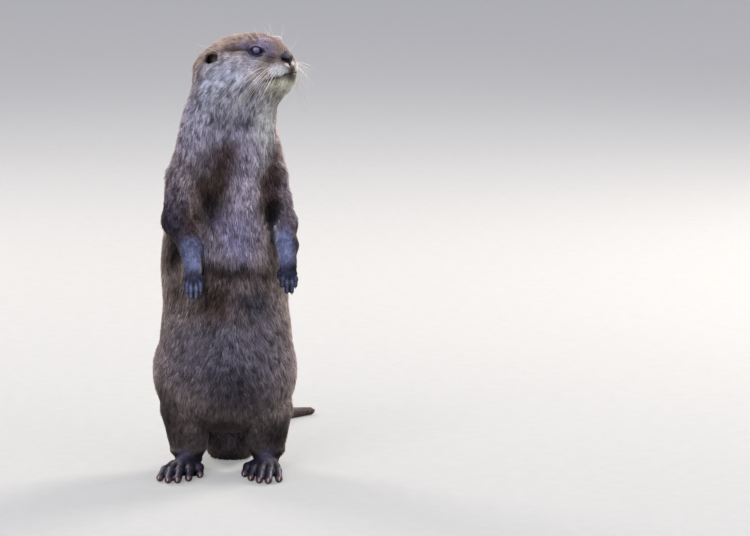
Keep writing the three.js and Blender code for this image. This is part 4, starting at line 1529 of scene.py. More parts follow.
class MaterialGraph(Graph):
    """The node tree of one material."""

    def __init__(self, name: str) -> None:
        """Makes a material with an empty tree."""
        self.material = bpy.data.materials.new(name)
        self.material.use_nodes = True
        super().__init__(self.material.node_tree)

    def place(self) -> Value:
        """Object coordinates."""
        return self.node("ShaderNodeTexCoord", {}, {})[3]

    def attribute(self, name: str) -> list[Value]:
        """An attribute's colour, vector, value and alpha."""
        return self.node("ShaderNodeAttribute", {"attribute_name": name}, {})

    def noise(self, at: Value, scale: float, detail: float = 2.0) -> Value:
        """Noise from 0 to 1."""
        return self.node("ShaderNodeTexNoise", {}, {"Vector": at, "Scale": scale, "Detail": detail})[0]

    def grooves(self, at: Value, scale: float) -> Value:
        """The distance to the edges between pebbles."""
        return self.node("ShaderNodeTexVoronoi", {"feature": "DISTANCE_TO_EDGE"}, {"Vector": at, "Scale": scale})[0]

    def stretch(self, at: Value, by: Row) -> Value:
        """Coordinates scaled along each axis."""
        return self.node("ShaderNodeVectorMath", {"operation": "MULTIPLY"}, {0: at, 1: by})[0]

    def shade(self, colour: Value, by: Value) -> Value:
        """A colour made lighter or darker."""
        return self.node("ShaderNodeVectorMath", {"operation": "SCALE"}, {0: colour, "Scale": by})[0]

    def bump(self, height: Value, strength: float, distance: float) -> Value:
        """A normal from a height, distance in millimetres."""
        return self.node("ShaderNodeBump", {}, {"Strength": strength, "Distance": distance * MM, "Height": height})[0]

    def finish(self, inputs: dict[int | str, object]) -> bpy.types.Material:
        """Ends in a Principled shader with these inputs."""
        shader = self.node("ShaderNodeBsdfPrincipled", {}, inputs)[0]
        self.node("ShaderNodeOutputMaterial", {}, {"Surface": shader})
        return self.material


@dataclass(frozen=True)
class HairFinish:
    """The coat's locks: soft, a little glossy along the tips."""

    roughness: float = 0.6
    specular: float = 0.08
    sheen: float = 0.12
    rim: Row = (1.0, 0.86, 0.7)

    def material(self) -> bpy.types.Material:
        """Each lock's own tone, with fine hairs breaking it up."""
        g = MaterialGraph("coat_hair")
        hairs = g.fit(g.noise(g.place(), 1400, 2), 0.3, 0.7, 0.9, 1.1)
        return g.finish(
            {
                "Base Color": g.shade(g.attribute("tone")[0], hairs),
                "Roughness": self.roughness,
                "Specular IOR Level": self.specular,
                "Sheen Weight": self.sheen,
                "Sheen Roughness": 0.45,
                "Sheen Tint": self.rim,
            }
        )


@dataclass(frozen=True)
class SkinFinish:
    """The skin: felted short fur over most of it, and wrinkled pebbly hide on the feet, lids and nose."""

    fur_roughness: float = 0.85
    hide_roughness: float = 0.5

    def material(self) -> bpy.types.Material:
        """Its tone and bareness come with it."""
        g = MaterialGraph("skin")
        at = g.place()
        bare = g.attribute("bare")[2]
        streaks = g.noise(g.stretch(at, (1, 1, 0.3)), 900, 3)
        pebbles = g.grooves(at, 1100)
        wrinkles = g.noise(g.stretch(at, (1, 1, 2.4)), 420, 3)
        hide = g.fit(pebbles, 0.0, 0.25, 0.0, 0.55) + wrinkles * 0.9
        height = streaks * (1 - bare) + hide * bare
        felt = g.fit(streaks, 0.3, 0.7, 0.72, 1.15)
        hide_shade = g.fit(wrinkles, 0.3, 0.7, 0.82, 1.14)
        shade = felt * (1 - bare) + hide_shade * bare
        gloss = self.fur_roughness * (1 - bare) + self.hide_roughness * bare
        return g.finish(
            {
                "Base Color": g.shade(g.attribute("tone")[0], shade),
                "Roughness": gloss + (streaks - 0.5) * 0.12,
                "Specular IOR Level": 0.12,
                "Coat Weight": bare * 0.13,
                "Coat Roughness": 0.36,
                "Normal": g.bump(height, 0.5, 0.5),
            }
        )


@dataclass(frozen=True)
class EyeFinish:
    """A wet, almost black eye with a dim brown iris, and a painted lilac reflection of the sky over its front, set a
    little high.
    """

    iris: Row = (0.012, 0.009, 0.009)
    pupil: Row = (0.003, 0.003, 0.004)
    white: Row = (0.03, 0.022, 0.022)
    # the colour of the painted reflection of the sky
    sheen: Row = (0.075, 0.068, 0.15)

    def material(self) -> bpy.types.Material:
        """gaze runs from 1 at the middle of the pupil to 0 at the eyeball's side; sky is where the painted reflection
        of the sky lies over it.
        """
        g = MaterialGraph("eye_wet")
        gaze = g.attribute("gaze")[2]
        fibres = g.noise(g.place(), 1500, 2)
        iris = g.fit(gaze + (fibres - 0.5) * 0.02, 0.44, 0.52, 0.0, 1.0)
        pupil = g.fit(gaze, 0.88, 0.91, 0.0, 1.0)
        tone = g.blend(pupil, g.blend(iris, self.white, self.iris), self.pupil)
        # painted reflection of the sky, laid over the eye's tone
        tone = g.blend(g.attribute("sky")[2] * 0.85, tone, self.sheen)
        return g.finish(
            {
                "Base Color": tone,
                "Roughness": g.fit(fibres, 0.2, 0.8, 0.22, 0.26),
                "Specular IOR Level": 0.2,
                "Coat Weight": 0.3,
                "Coat Roughness": 0.13,
            }
        )


@dataclass(frozen=True)
class NoseFinish:
    """Damp dark pebbled leather."""

    def material(self) -> bpy.types.Material:
        """Small pebbles parted by fine grooves."""
        g = MaterialGraph("nose_leather")
        at = g.place()
        pebbles = g.grooves(at, 1500)
        worn = g.noise(at, 500, 3)
        shade = g.fit(pebbles, 0.0, 0.12, 0.7, 1.0) * g.fit(worn, 0.3, 0.7, 0.85, 1.2)
        return g.finish(
            {
                "Base Color": g.shade(g.attribute("tone")[0], shade),
                "Roughness": g.fit(worn, 0.3, 0.7, 0.48, 0.64),
                "Specular IOR Level": 0.14,
                "Normal": g.bump(g.fit(pebbles, 0.0, 0.2, 0.0, 1.0), 0.35, 0.2),
            }
        )


@dataclass(frozen=True)
class HornFinish:
    """Pale worn horn, or the stiff clear hair of a whisker."""

    name: str
    root: Row
    tip: Row
    roughness: float

    def material(self) -> bpy.types.Material:
        """Its tone runs from root to tip by the attribute along."""
        g = MaterialGraph(self.name)
        lines = g.noise(g.place(), 1800, 2)
        along = g.attribute("along")[2]
        tone = g.blend(along, tuple(linear(self.root)), tuple(linear(self.tip)))
        return g.finish(
            {
                "Base Color": g.shade(tone, g.fit(lines, 0.3, 0.7, 0.88, 1.1)),
                "Roughness": g.fit(lines, 0.3, 0.7, self.roughness - 0.06, self.roughness + 0.08),
                "Specular IOR Level": 0.5,
            }
        )


# ---------------------------------------------------------------- pieces


def stand(name: str, data: bpy.types.ID) -> bpy.types.Object:
    """A new object of the scene that shows the data."""
    made = bpy.data.objects.new(name, data)
    bpy.context.scene.collection.objects.link(made)
    return made


@dataclass
class Workshop:
    """Turns arrays in the otter's frame into finished pieces in the frame of the solids."""

    shift: np.ndarray

    def piece(
        self,
        name: str,
        surface: Surface,
        material: bpy.types.Material,
        slot: str,
        colours: np.ndarray | None = None,
        values: dict[str, np.ndarray] | None = None,
        uv: np.ndarray | None = None,
        normals: np.ndarray | None = None,
    ) -> bpy.types.Object:
        """Makes a piece that rides on the body.

        Args:
            name: Its name.
            surface: Its shape, in millimetres.
            material: Its finish.
            slot: The material slot's name; it is not used.
            colours: Its tone at each point.
            values: Other numbers at each point, by name.
            uv: The place of each face corner on the map that keeps its colours.
            normals: The directions that its points are lit by, where they are not the mesh's own.

        Returns:
            The object.
        """
        mesh = bpy.data.meshes.new(name)
        count, faces = len(surface.points), surface.faces.astype(np.int32)
        mesh.vertices.add(count)
        mesh.vertices.foreach_set("co", ((surface.points + self.shift) * MM).astype(np.float32).ravel())
        mesh.loops.add(faces.size)
        mesh.loops.foreach_set("vertex_index", faces.ravel())
        mesh.polygons.add(len(faces))
        mesh.polygons.foreach_set("loop_start", np.arange(0, faces.size, 3, dtype=np.int32))
        mesh.polygons.foreach_set("use_smooth", np.ones(len(faces), bool))
        if colours is not None:
            data = np.ones((count, 4), np.float32)
            data[:, :3] = np.clip(colours, 0, 1)
            mesh.color_attributes.new("tone", "FLOAT_COLOR", "POINT").data.foreach_set("color", data.ravel())
        for key, value in (values or {}).items():
            mesh.attributes.new(key, "FLOAT", "POINT").data.foreach_set("value", value.astype(np.float32))
        if uv is not None:
            mesh.uv_layers.new(name="OFBake").data.foreach_set("uv", uv.astype(np.float32).ravel())
        mesh.materials.append(material)
        mesh.update()
        mesh.validate()
        if normals is not None:
            mesh.normals_split_custom_set_from_vertices(normals)
        return self.ride(stand(name, mesh), slot)

    def ride(self, made: bpy.types.Object, slot: str) -> bpy.types.Object:
        """Fixes a piece to the body and reports it."""
        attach(made, BODY)
        LOG.info("%s: %d faces", made.name, len(made.data.polygons))
        return made


FLESH = ("head", "neck", "trunk", "tail_root", "tail_middle", "tail_tip") + tuple(
    f"{part}_{side}" for part in ("ear", "foreleg", "forefoot", "hindleg", "hindfoot") for side in SIDES
)
SKIN_BANDS = (
    ((-50, -20, 1.3), (54, 88, 1.3)),
    ((-82, -48, 1.3),),
    ((203, 256, 1.3), (452, 500, 2.1)),
)


@dataclass
class SkinPiece:
    """The one skin of the whole otter."""

    shop: Workshop
    pitch: float = 3.1
    low: Row = (-95, -100, -6)
    high: Row = (110, 312, 508)
    surface: Surface = field(init=False)

    def build(self) -> None:
        """Meshes the skin, finer on the head, hands and feet and finest round the eyes and ears."""
        mesher = Mesher(SKIN.field, self.low, self.high, self.pitch, SKIN_BANDS)
        surface = mesher.mesh()
        surface, new = refine(surface, self._fine(surface))
        mesher.settle(surface)
        mesher.settle(surface, new)
        surface, new = refine(surface, self._finest(surface))
        mesher.settle(surface, new, 2)
        self.surface = surface

    @staticmethod
    def _fine(surface: Surface) -> np.ndarray:
        """The faces of the head and feet."""
        middle = surface.middles()
        h = HEAD_AXES.inside(middle)
        head = (lengths(h - (16, 0, -6)) < 52) & (h[:, 2] > -44)
        return head | (middle[:, 2] < 26) & (middle[:, 1] < 16)

    @staticmethod
    def _finest(surface: Surface) -> np.ndarray:
        """The faces round the eyes, ears, nostrils and mouth, and those of the hands."""
        middle = surface.middles()
        both = folded(HEAD_AXES.inside(middle))
        wanted = lengths(EYE_AXES.inside(both) - (6, 0, 0)) < 10
        wanted |= lengths(EAR_AXES.inside(both)) < 11
        for leg in FORELEGS:
            wanted |= lengths(leg.hand_axes.inside(middle) - (18, 0, 0)) < 19
        return wanted | (line_gap(both, MOUTH[:4])[0] < 3) | (both[:, 0] > 43) & (both[:, 2] > -8)

    def dress(self, material: bpy.types.Material) -> None:
        """Gives the skin its markings, darker where the coat covers it."""
        bare = bareness(self.surface.points)
        tones = MARKS.colour(self.surface.points) * (0.55 + 0.35 * bare)[:, None]
        made = self.shop.piece("skin", self.surface, material, "coat", tones, {"bare": bare})
        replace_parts(made, *FLESH)


@dataclass
class EyePieces:
    """The eyeballs."""

    shop: Workshop
    around: int = 48
    rings: int = 32
    cornea: float = 0.45
    # the way from the eyeball's middle to the middle of its painted reflection of the sky
    sky: Row = (1.0, 0.0, 0.2)

    def build(self, material: bpy.types.Material) -> None:
        """Makes both eyes, each with the clear swell of its cornea."""
        for name, side in SIDES.items():
            surface, gaze, sky = self._ball(side)
            made = self.shop.piece(f"eyeball_{name}", surface, material, "eye", None, {"gaze": gaze, "sky": sky})
            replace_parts(made, f"eye_{name}")

    def _ball(self, side: float) -> tuple[Surface, np.ndarray, np.ndarray]:
        """One eyeball, how near each point is to its gaze, and how much of the painted reflection of the sky it has."""
        polar = np.linspace(0, math.pi, self.rings + 1)
        turn = np.arange(self.around) * 2 * math.pi / self.around
        radius = EYE.radius + self.cornea * ramp(0.85, 0.0, polar)
        rows = [np.array([[radius[0], 0, 0]])]
        for a, r in zip(polar[1:-1], radius[1:-1]):
            ahead, across = np.full(self.around, r * math.cos(a)), r * math.sin(a)
            rows.append(np.stack([ahead, across * np.cos(turn), across * np.sin(turn)], 1))
        rows.append(np.array([[-radius[-1], 0, 0]]))
        local = np.vstack(rows)
        points = HEAD_AXES.outside(EYE.axes(side).outside(local))
        surface = Surface(points, loft_faces([len(row) for row in rows])).turned_out()
        way = unit(local)
        return surface, np.clip(way[:, 0], 0, 1), ramp(0.78, 0.94, way @ unit(np.array(self.sky)))


def loft_faces(counts: Sequence[int]) -> np.ndarray:
    """The triangles that join closed rings of points one after another; a ring of one point is a pole."""
    faces = []
    first = 0
    for low, high in zip(counts, counts[1:]):
        after = first + low
        for k in range(max(low, high)):
            a, b = first + k % low, first + (k + 1) % low
            c, d = after + k % high, after + (k + 1) % high
            if a != b:
                faces.append((a, b, c))
            if c != d:
                faces.append((b, d, c))
        first = after
    return np.array(faces)


@dataclass
class NosePiece:
    """The nose leather with its two comma-shaped nostrils."""

    shop: Workshop
    pitch: float = 0.5
    nostril: Row = (2.4, 2.2, 1.7, 1.1)
    tone: Row = (38, 31, 38)
    # painted shade in the nostrils
    dark: Row = (18, 12, 14)

    def field(self, p: np.ndarray) -> np.ndarray:
        """The distance to the leather, in the head's frame."""
        holes = chain(folded(p), [(*place, r) for place, r in zip(NOSTRIL, self.nostril)], 1.0)
        groove = line_gap(p, ((54.6, 0, 3), (54.4, 0, -8)))[0]
        return cut(nose_shape(p), holes, 0.7) + 0.7 * swell(groove, 1.0)

    def build(self, material: bpy.types.Material) -> None:
        """Meshes and colours the leather, with painted shade in and round the nostrils."""
        mesher = Mesher(self.field, (38, -15, -11), (58, 15, 13), self.pitch)
        surface = mesher.mesh()
        mesher.settle(surface)
        tones = np.tile(linear(self.tone), (len(surface.points), 1))
        # painted shade darkening the nostrils
        slit = line_gap(folded(surface.points), NOSTRIL)[0]
        tones += (ramp(3.2, 2.0, slit) * 0.96)[:, None] * (linear(self.dark) - tones)
        surface.points = HEAD_AXES.outside(surface.points)
        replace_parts(self.shop.piece("nose_leather", surface, material, "nose", tones), "nose")


@dataclass
class ClawPieces:
    """The small blunt claws, five to a foot."""

    shop: Workshop
    length: float = 3.4
    radius: float = 1.25
    around: int = 8
    rings: int = 5

    def build(self, material: bpy.types.Material) -> None:
        """Makes the claws of all four feet."""
        for name, leg, hind in zip(("right", "left"), FORELEGS, HIND_LEGS):
            self._foot(f"fore_{name}", FINGERS.chains(leg.side), leg.hand_axes, 0.66, material)
            self._foot(f"hind_{name}", TOES.chains(hind.side), hind.foot_axes, 1.1, material)

    def _foot(self, name: str, digits: list[list[Row]], axes: Axes, size: float, material: bpy.types.Material) -> None:
        """Makes one foot's claws as one piece."""
        claws = [self._claw(digit, size) for digit in digits]
        tri = loft_faces([1] + [self.around] * self.rings + [1])
        ones = [Surface(axes.outside(local), tri).turned_out() for local, _ in claws]
        faces = [one.faces + i * len(one.points) for i, one in enumerate(ones)]
        surface = Surface(np.vstack([one.points for one in ones]), np.vstack(faces))
        along = np.concatenate([share for _, share in claws])
        made = self.shop.piece(f"claws_{name}", surface, material, "claw", None, {"along": along})
        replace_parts(made, *[f"claw_{name}_{i + 1}" for i in range(len(digits))])

    def _claw(self, digit: list[Row], size: float) -> Pair:
        """One claw, curving down past its digit's tip.

        Args:
            digit: The digit's joints.
            size: The claw's size.

        Returns:
            Its points in its foot's frame, and each point's share of its length.
        """
        knuckle, tip = np.array(digit[1][:3]), np.array(digit[2][:3])
        ahead = unit(tip - knuckle)
        side = unit(np.cross(ahead, np.array([0, 0, 1.0])))
        up = np.cross(side, ahead)
        start = tip + up * digit[2][3] * 0.62 + ahead * digit[2][3] * 0.45
        turn = np.arange(self.around) * 2 * math.pi / self.around
        rows, share = [start[None] - ahead * 0.4], [0.0]
        for t in (i / (self.rings - 1) for i in range(self.rings)):
            middle = start + ahead * self.length * size * t - up * 1.1 * size * t * t
            r = self.radius * size * (1 - 0.55 * t)
            rows.append(middle + r * (np.cos(turn)[:, None] * side + 0.85 * np.sin(turn)[:, None] * up))
            share += [t] * self.around
        rows.append((start + ahead * self.length * size * 1.12 - up * 1.4 * size)[None])
        return np.vstack(rows), np.array(share + [1.0])


# ---------------------------------------------------------------- the coat


class Part(Enum):
    """What part of the body a root stands on."""

    TRUNK = 0
    HEAD = 1
    FORELEG = 2
    HIND_LEG = 3
    TAIL = 4


@dataclass(frozen=True)
class Region:
    """A stretch of the coat that is one piece.

    Attributes:
        name: The piece's name.
        part: The part of the body that its roots stand on.
        start: The start of the axis that its map is wound round.
        end: The end of that axis.
        axis: Which of x, y and z parts it from others on the same part, in the head's frame on the head.
        low: Where it starts on that axis.
        high: Where it ends.
    """

    name: str
    part: Part
    start: Row
    end: Row
    axis: int = 2
    low: float = -math.inf
    high: float = math.inf

    def holds(self, p: np.ndarray, part: np.ndarray) -> np.ndarray:
        """Which roots belong to it, given their places and parts."""
        at = (HEAD_AXES.inside(p) if self.part is Part.HEAD else p)[:, self.axis]
        return (part == self.part.value) & (at > self.low) & (at <= self.high)

    def unwound(self, p: np.ndarray) -> np.ndarray:
        """Where points lie on the map: round the axis, and along it with some to spare at both ends."""
        start = np.array(self.start, float)
        along = np.array(self.end, float) - start
        q = Axes.towards(start, along, (0.1, 1, 0.2)).inside(p)
        u = np.arctan2(q[:, 2], q[:, 1]) / (2 * math.pi) + 0.5
        v = np.clip(q[:, 0] / np.linalg.norm(along), -0.6, 1.6) / 2.2 + 0.5 * 0.6
        return np.stack([u * 0.98 + 0.01, np.clip(v, 0.01, 0.99)], 1)


REGIONS = (
    Region("coat_face", Part.HEAD, (60, -30, 462), (-10, 5, 480), 0, low=8),
    Region("coat_cheeks", Part.HEAD, (60, -30, 462), (-40, 30, 450), 0, high=8),
    Region("coat_neck", Part.TRUNK, (12, -8, 450), (5, 0, 380), low=385),
    Region("coat_shoulders", Part.TRUNK, (5, 0, 385), (0, 0, 320), low=320, high=385),
    Region("coat_chest", Part.TRUNK, (2, 2, 320), (0, 0, 240), low=240, high=320),
    Region("coat_belly", Part.TRUNK, (0, 0, 240), (0, 0, 155), low=155, high=240),
    Region("coat_rump", Part.TRUNK, (0, 0, 155), (0, 0, 40), high=155),
    Region("coat_hindleg_right", Part.HIND_LEG, (-44, 0, 170), (-44, 0, 0), 0, high=0),
    Region("coat_hindleg_left", Part.HIND_LEG, (44, 0, 170), (44, 0, 0), 0, low=0),
    Region("coat_forelegs", Part.FORELEG, (10, -30, 350), (10, -60, 210)),
    Region("coat_tail", Part.TAIL, (0, 50, 60), (60, 290, 5)),
)


@dataclass(frozen=True)
class Locks:
    """Locks of hair as arrays, one row for each."""

    root: np.ndarray
    normal: np.ndarray
    flow: np.ndarray
    length: np.ndarray
    width: np.ndarray
    rise: np.ndarray
    tone: np.ndarray
    part: np.ndarray
    ridge: np.ndarray

    def some(self, which: np.ndarray) -> Locks:
        """The locks that are chosen."""
        return Locks(*(getattr(self, column.name)[which] for column in fields(self)))


@dataclass(frozen=True)
class LockShape:
    """One way to make a lock.

    Attributes:
        takes: Which of the points that the coat works out for a lock it takes.
        faces: Its triangles.
        spots: Each point's place in the lock's own little patch of the map.
        shades: How light each point is.
    """

    takes: tuple[int, ...]
    faces: tuple[tuple[int, ...], ...]
    spots: tuple[Row, ...]
    shades: Row


BENT = LockShape(
    (0, 1, 2, 3, 4),
    ((0, 2, 1), (0, 3, 2), (0, 1, 3), (1, 2, 4), (2, 3, 4), (3, 1, 4)),
    ((0, -1.3), (1, 0), (0, 0.3), (-1, 0), (0, 1.3)),
    (0.42, 0.8, 0.92, 0.8, 1.3),
)
SPIKE = LockShape(
    (5, 6, 7, 4),
    ((0, 2, 1), (0, 1, 3), (1, 2, 3), (2, 0, 3)),
    ((-1, -1), (0, -1.4), (1, -1), (0, 1)),
    (0.74, 0.86, 0.74, 1.18),
)


@dataclass
class Coat:
    """The coat, rooted in the skin.

    Attributes:
        skin: The skin.
        seed: The seed of its random numbers.
        close: How much closer the roots stand than their tracts say.
        row: How far apart the fine rows of a sleek coat are.
        bend: How far along a lock bends.
        spike_length: The length under which a lock is a plain spike.
        spread: The size of a lock's own patch of the map.
        own: How far a lock is lit by its own faces rather than the skin under it.
        shorten: How much of its length a lock loses round the mouth, nose, eyes and ears.
        long: The length over which only a share counts, and that share.
        sway: How far the locks wander off the lie, in lumps of two sizes: size, seed and reach.
        slide: How far roots slide towards the nearest row.
        crest: How much higher a lock is on a row's crest, and how much lighter it is painted there, with painted shade
            between the rows.
        mean: The shade of a lock's middle.
        tuft: How much higher and longer the locks of the brow are, and how wide it is.
        streaks: How strongly streaks and blotches lighten and darken the coat.
        shades: The darkest and lightest that a lock gets.
    """

    skin: Surface
    seed: int
    thin: float = 1.0
    close: float = 0.78
    row: float = 4.4
    bend: float = 0.45
    spike_length: float = 3.0
    spread: float = 0.0012
    own: float = 0.4
    shorten: float = 0.55
    long: Row = (8, 0.6)
    sway: tuple[tuple[float, int, float], ...] = ((14.0, 1, 0.2), (4.5, 4, 0.2))
    slide: float = 0.5
    crest: Row = (0.22, 0.3)
    mean: float = 0.86
    tuft: Row = (4.6, 1.2, 3.4)
    streaks: Row = (0.7, 0.36)
    shades: Row = (0.25, 2.2)

    def __post_init__(self) -> None:
        """Starts its random numbers."""
        self.random = np.random.default_rng(self.seed)

    def sow(self) -> Locks:
        """Roots the locks in the skin, each at a random place of a face, and shapes them."""
        skin = self.skin
        middle = sum(skin.corners()) / 3
        spacing = LIE.read(middle)[1][:, 3] * self.thin * self.close
        wanted = skin.areas() / spacing**2 * (1 - bareness(middle)) * (middle[:, 2] > 1.2)
        count = np.floor(wanted + self.random.random(len(wanted))).astype(int)
        which = np.repeat(np.arange(len(count)), count)
        u, v = self.random.random((2, len(which)))
        flip = u + v > 1
        u, v = np.where(flip, 1 - u, u), np.where(flip, 1 - v, v)
        w = np.stack([1 - u - v, u, v], 1)[:, :, None]
        corners = skin.faces[which]
        return self._shape((skin.points[corners] * w).sum(1), unit((skin.normals()[corners] * w).sum(1)))

    @staticmethod
    def parts(p: np.ndarray) -> np.ndarray:
        """The part of the body that each root stands on, by its value."""
        gaps = {
            Part.TRUNK: OUTLINE.trunk(p) - 1.5,
            Part.HEAD: within(p, (-60, -100, 395), (110, 90, 520), lambda q: OUTLINE.head(HEAD_AXES.inside(q))),
            Part.FORELEG: np.min([gap(p) for leg in FORELEGS for gap in (leg.arm_field, leg.hand_field)], 0),
            Part.HIND_LEG: np.min([gap(p) for leg in HIND_LEGS for gap in (leg.leg_field, leg.foot_field)], 0),
            Part.TAIL: within(p, *TAIL_BOX, OUTLINE.tail),
        }
        return np.array([part.value for part in gaps])[np.argmin(list(gaps.values()), 0)]

    def _shape(self, root: np.ndarray, normal: np.ndarray) -> Locks:
        """Gives each lock its lie, size and tone.

        Args:
            root: Where the locks are rooted.
            normal: The skin's normal there.

        Returns:
            The locks.
        """
        flow, values = LIE.read(root)
        part = self.parts(root)
        depth, length, width, _, ridge = values.T
        trim = 1 - self.shorten * shortness(root)
        depth, length = depth * trim, np.maximum(length * trim, np.minimum(length, 1.6))
        rand = self.random.normal(0, 1, (len(root), 5))
        length = np.where(length > self.long[0], self.long[0] + (length - self.long[0]) * self.long[1], length)
        coarse, fine = (wander(root, scale, seed) * far for scale, seed, far in self.sway)
        lie = flow + (coarse + fine) + rand[:, :3] * 0.045
        lie = unit(lie - (lie * normal).sum(1, keepdims=True) * normal)
        size = 1 + 0.18 * np.clip(rand[:, 3], -2, 2)
        past = self._row(root + lie * (length * size)[:, None]) / self.row
        root = root + lie * ((past - np.round(past)) * self.row * self.slide * ridge)[:, None]
        rise = depth * (0.88 + 0.09 * np.clip(rand[:, 4], -2, 1)) * (1 + self.crest[0] * ridge * self._wave(root))
        tuft = swell(line_gap(folded(HEAD_AXES.inside(root)), BROW_HAIR)[0], self.tuft[2])
        rise = np.minimum(rise, depth * 1.12) + self.tuft[0] * tuft
        length = length * (1 + self.tuft[1] * tuft)
        shade = 1 + 0.19 * np.clip(rand[:, 0] - rand[:, 1], -2.4, 2.4)
        calm = (0.35 + 0.65 * ramp(0.8, 3.2, depth)) * (1 - 0.35 * ramp(0, 35, root[:, 1]))
        streak = noise(root * (1, 1, 0.55), 2.6, 9)
        shade *= 1 + calm * (self.streaks[0] * streak + self.streaks[1] * noise(root, 6.5, 10))
        tone = MARKS.colour(root) * np.clip(shade, *self.shades)[:, None]
        width = width * (0.7 + 0.3 * self.random.random(len(root)))
        return Locks(root, normal, lie, length * size, width, rise, tone, part, ridge)

    @staticmethod
    def _row(p: np.ndarray) -> np.ndarray:
        """How far up the fine rows into which a sleek coat breaks across its lie."""
        return p[:, 2] + 3.2 * noise(p, 17.0, 7) + 1.5 * noise(p, 6.0, 8)

    def _wave(self, p: np.ndarray) -> np.ndarray:
        """How far points are on a row's crest, from -1 between rows to 1."""
        return np.cos(2 * math.pi * self._row(p) / self.row)

    def build(self, locks: Locks, region: Region) -> tuple[Surface, np.ndarray, np.ndarray, np.ndarray]:
        """The mesh of some locks: spindles bent at the middle, or plain spikes where they are short.

        Args:
            locks: The locks.
            region: The stretch of the coat that they are in.

        Returns:
            The surface, its tones, each face corner's place on the map, and the directions it is lit by.
        """
        points, faces, spots, tones, lean = [], [], [], [], []
        short = locks.length < self.spike_length
        first = 0
        for shape, chosen in ((BENT, ~short), (SPIKE, short)):
            some = locks.some(chosen)
            places = self._points(some)[:, shape.takes]
            count, each = places.shape[:2]
            flat = places.reshape(-1, 3)
            tri, shades = np.array(shape.faces), np.array(shape.shades)
            points.append(flat)
            faces.append((first + np.arange(count)[:, None, None] * each + tri[None]).reshape(-1, 3))
            patch = np.array(shape.spots) * self.spread
            spots.append((region.unwound(some.root)[:, None, None, :] + patch[tri][None]).reshape(-1, 2))
            tones.append((some.tone[:, None, :] * shades[None, :, None]).reshape(-1, 3))
            # painted light on the rows' crests, painted shade between them and at the mouth
            tones[-1] *= self._painted_light_and_shade(flat, np.repeat(some.ridge, each), np.tile(shades, count))[:, None]
            lean.append(np.repeat(some.normal, each, 0))
            first += count * each
        surface = Surface(np.vstack(points), np.vstack(faces))
        lit = unit(surface.normals() * self.own + np.vstack(lean) * (1 - self.own))
        return surface, np.vstack(tones), np.vstack(spots), lit

    def _points(self, locks: Locks) -> np.ndarray:
        """The places of each lock's points.

        Args:
            locks: The locks.

        Returns:
            For each lock its root, the three points round its bend, its tip, and the three round a spike's foot.
        """
        n, f = locks.normal, locks.flow
        s = np.cross(n, f)
        length, width, rise = locks.length[:, None], locks.width[:, None], locks.rise[:, None]
        half, thick = width * 0.5, width * 0.36
        root = locks.root - n * 0.35
        mid = locks.root + f * length * self.bend + n * rise * 0.72
        tip = locks.root + f * length + n * rise
        tip[:, 2] = np.maximum(tip[:, 2], 0.1)
        bent = [root, mid + s * half, mid + n * thick, mid - s * half, tip]
        return np.stack(bent + [root + s * half, root + n * thick, root - s * half], 1)

    def _painted_light_and_shade(self, p: np.ndarray, ridge: np.ndarray, shade: np.ndarray) -> np.ndarray:
        """Painted light and shade: how much lighter points are painted on the crests of the rows and darker between
        them, and the painted shade at the mouth, which also darkens a line low behind the crown.
        """
        rows = (1 + self.crest[1] * ridge * self._wave(p)) * (1 + self.crest[1] * ridge * (shade - self.mean))
        return rows * (1 - 0.75 * ramp(2.2, 1.0, line_gap(np.abs(HEAD_AXES.inside(p)) * (1, 1, -1), MOUTH)[0]))

    def dress(self, shop: Workshop, material: bpy.types.Material) -> int:
        """Makes every piece of the coat.

        Args:
            shop: Where pieces are made.
            material: The coat's finish.

        Returns:
            How many faces it has in all.
        """
        locks = self.sow()
        total = 0
        for region in REGIONS:
            mine = region.holds(locks.root, locks.part)
            if mine.any():
                surface, tones, uv, lit = self.build(locks.some(mine), region)
                shop.piece(region.name, surface, material, "coat", tones, None, uv, lit)
                total += len(surface.faces)
        return total


# ---------------------------------------------------------------- whiskers


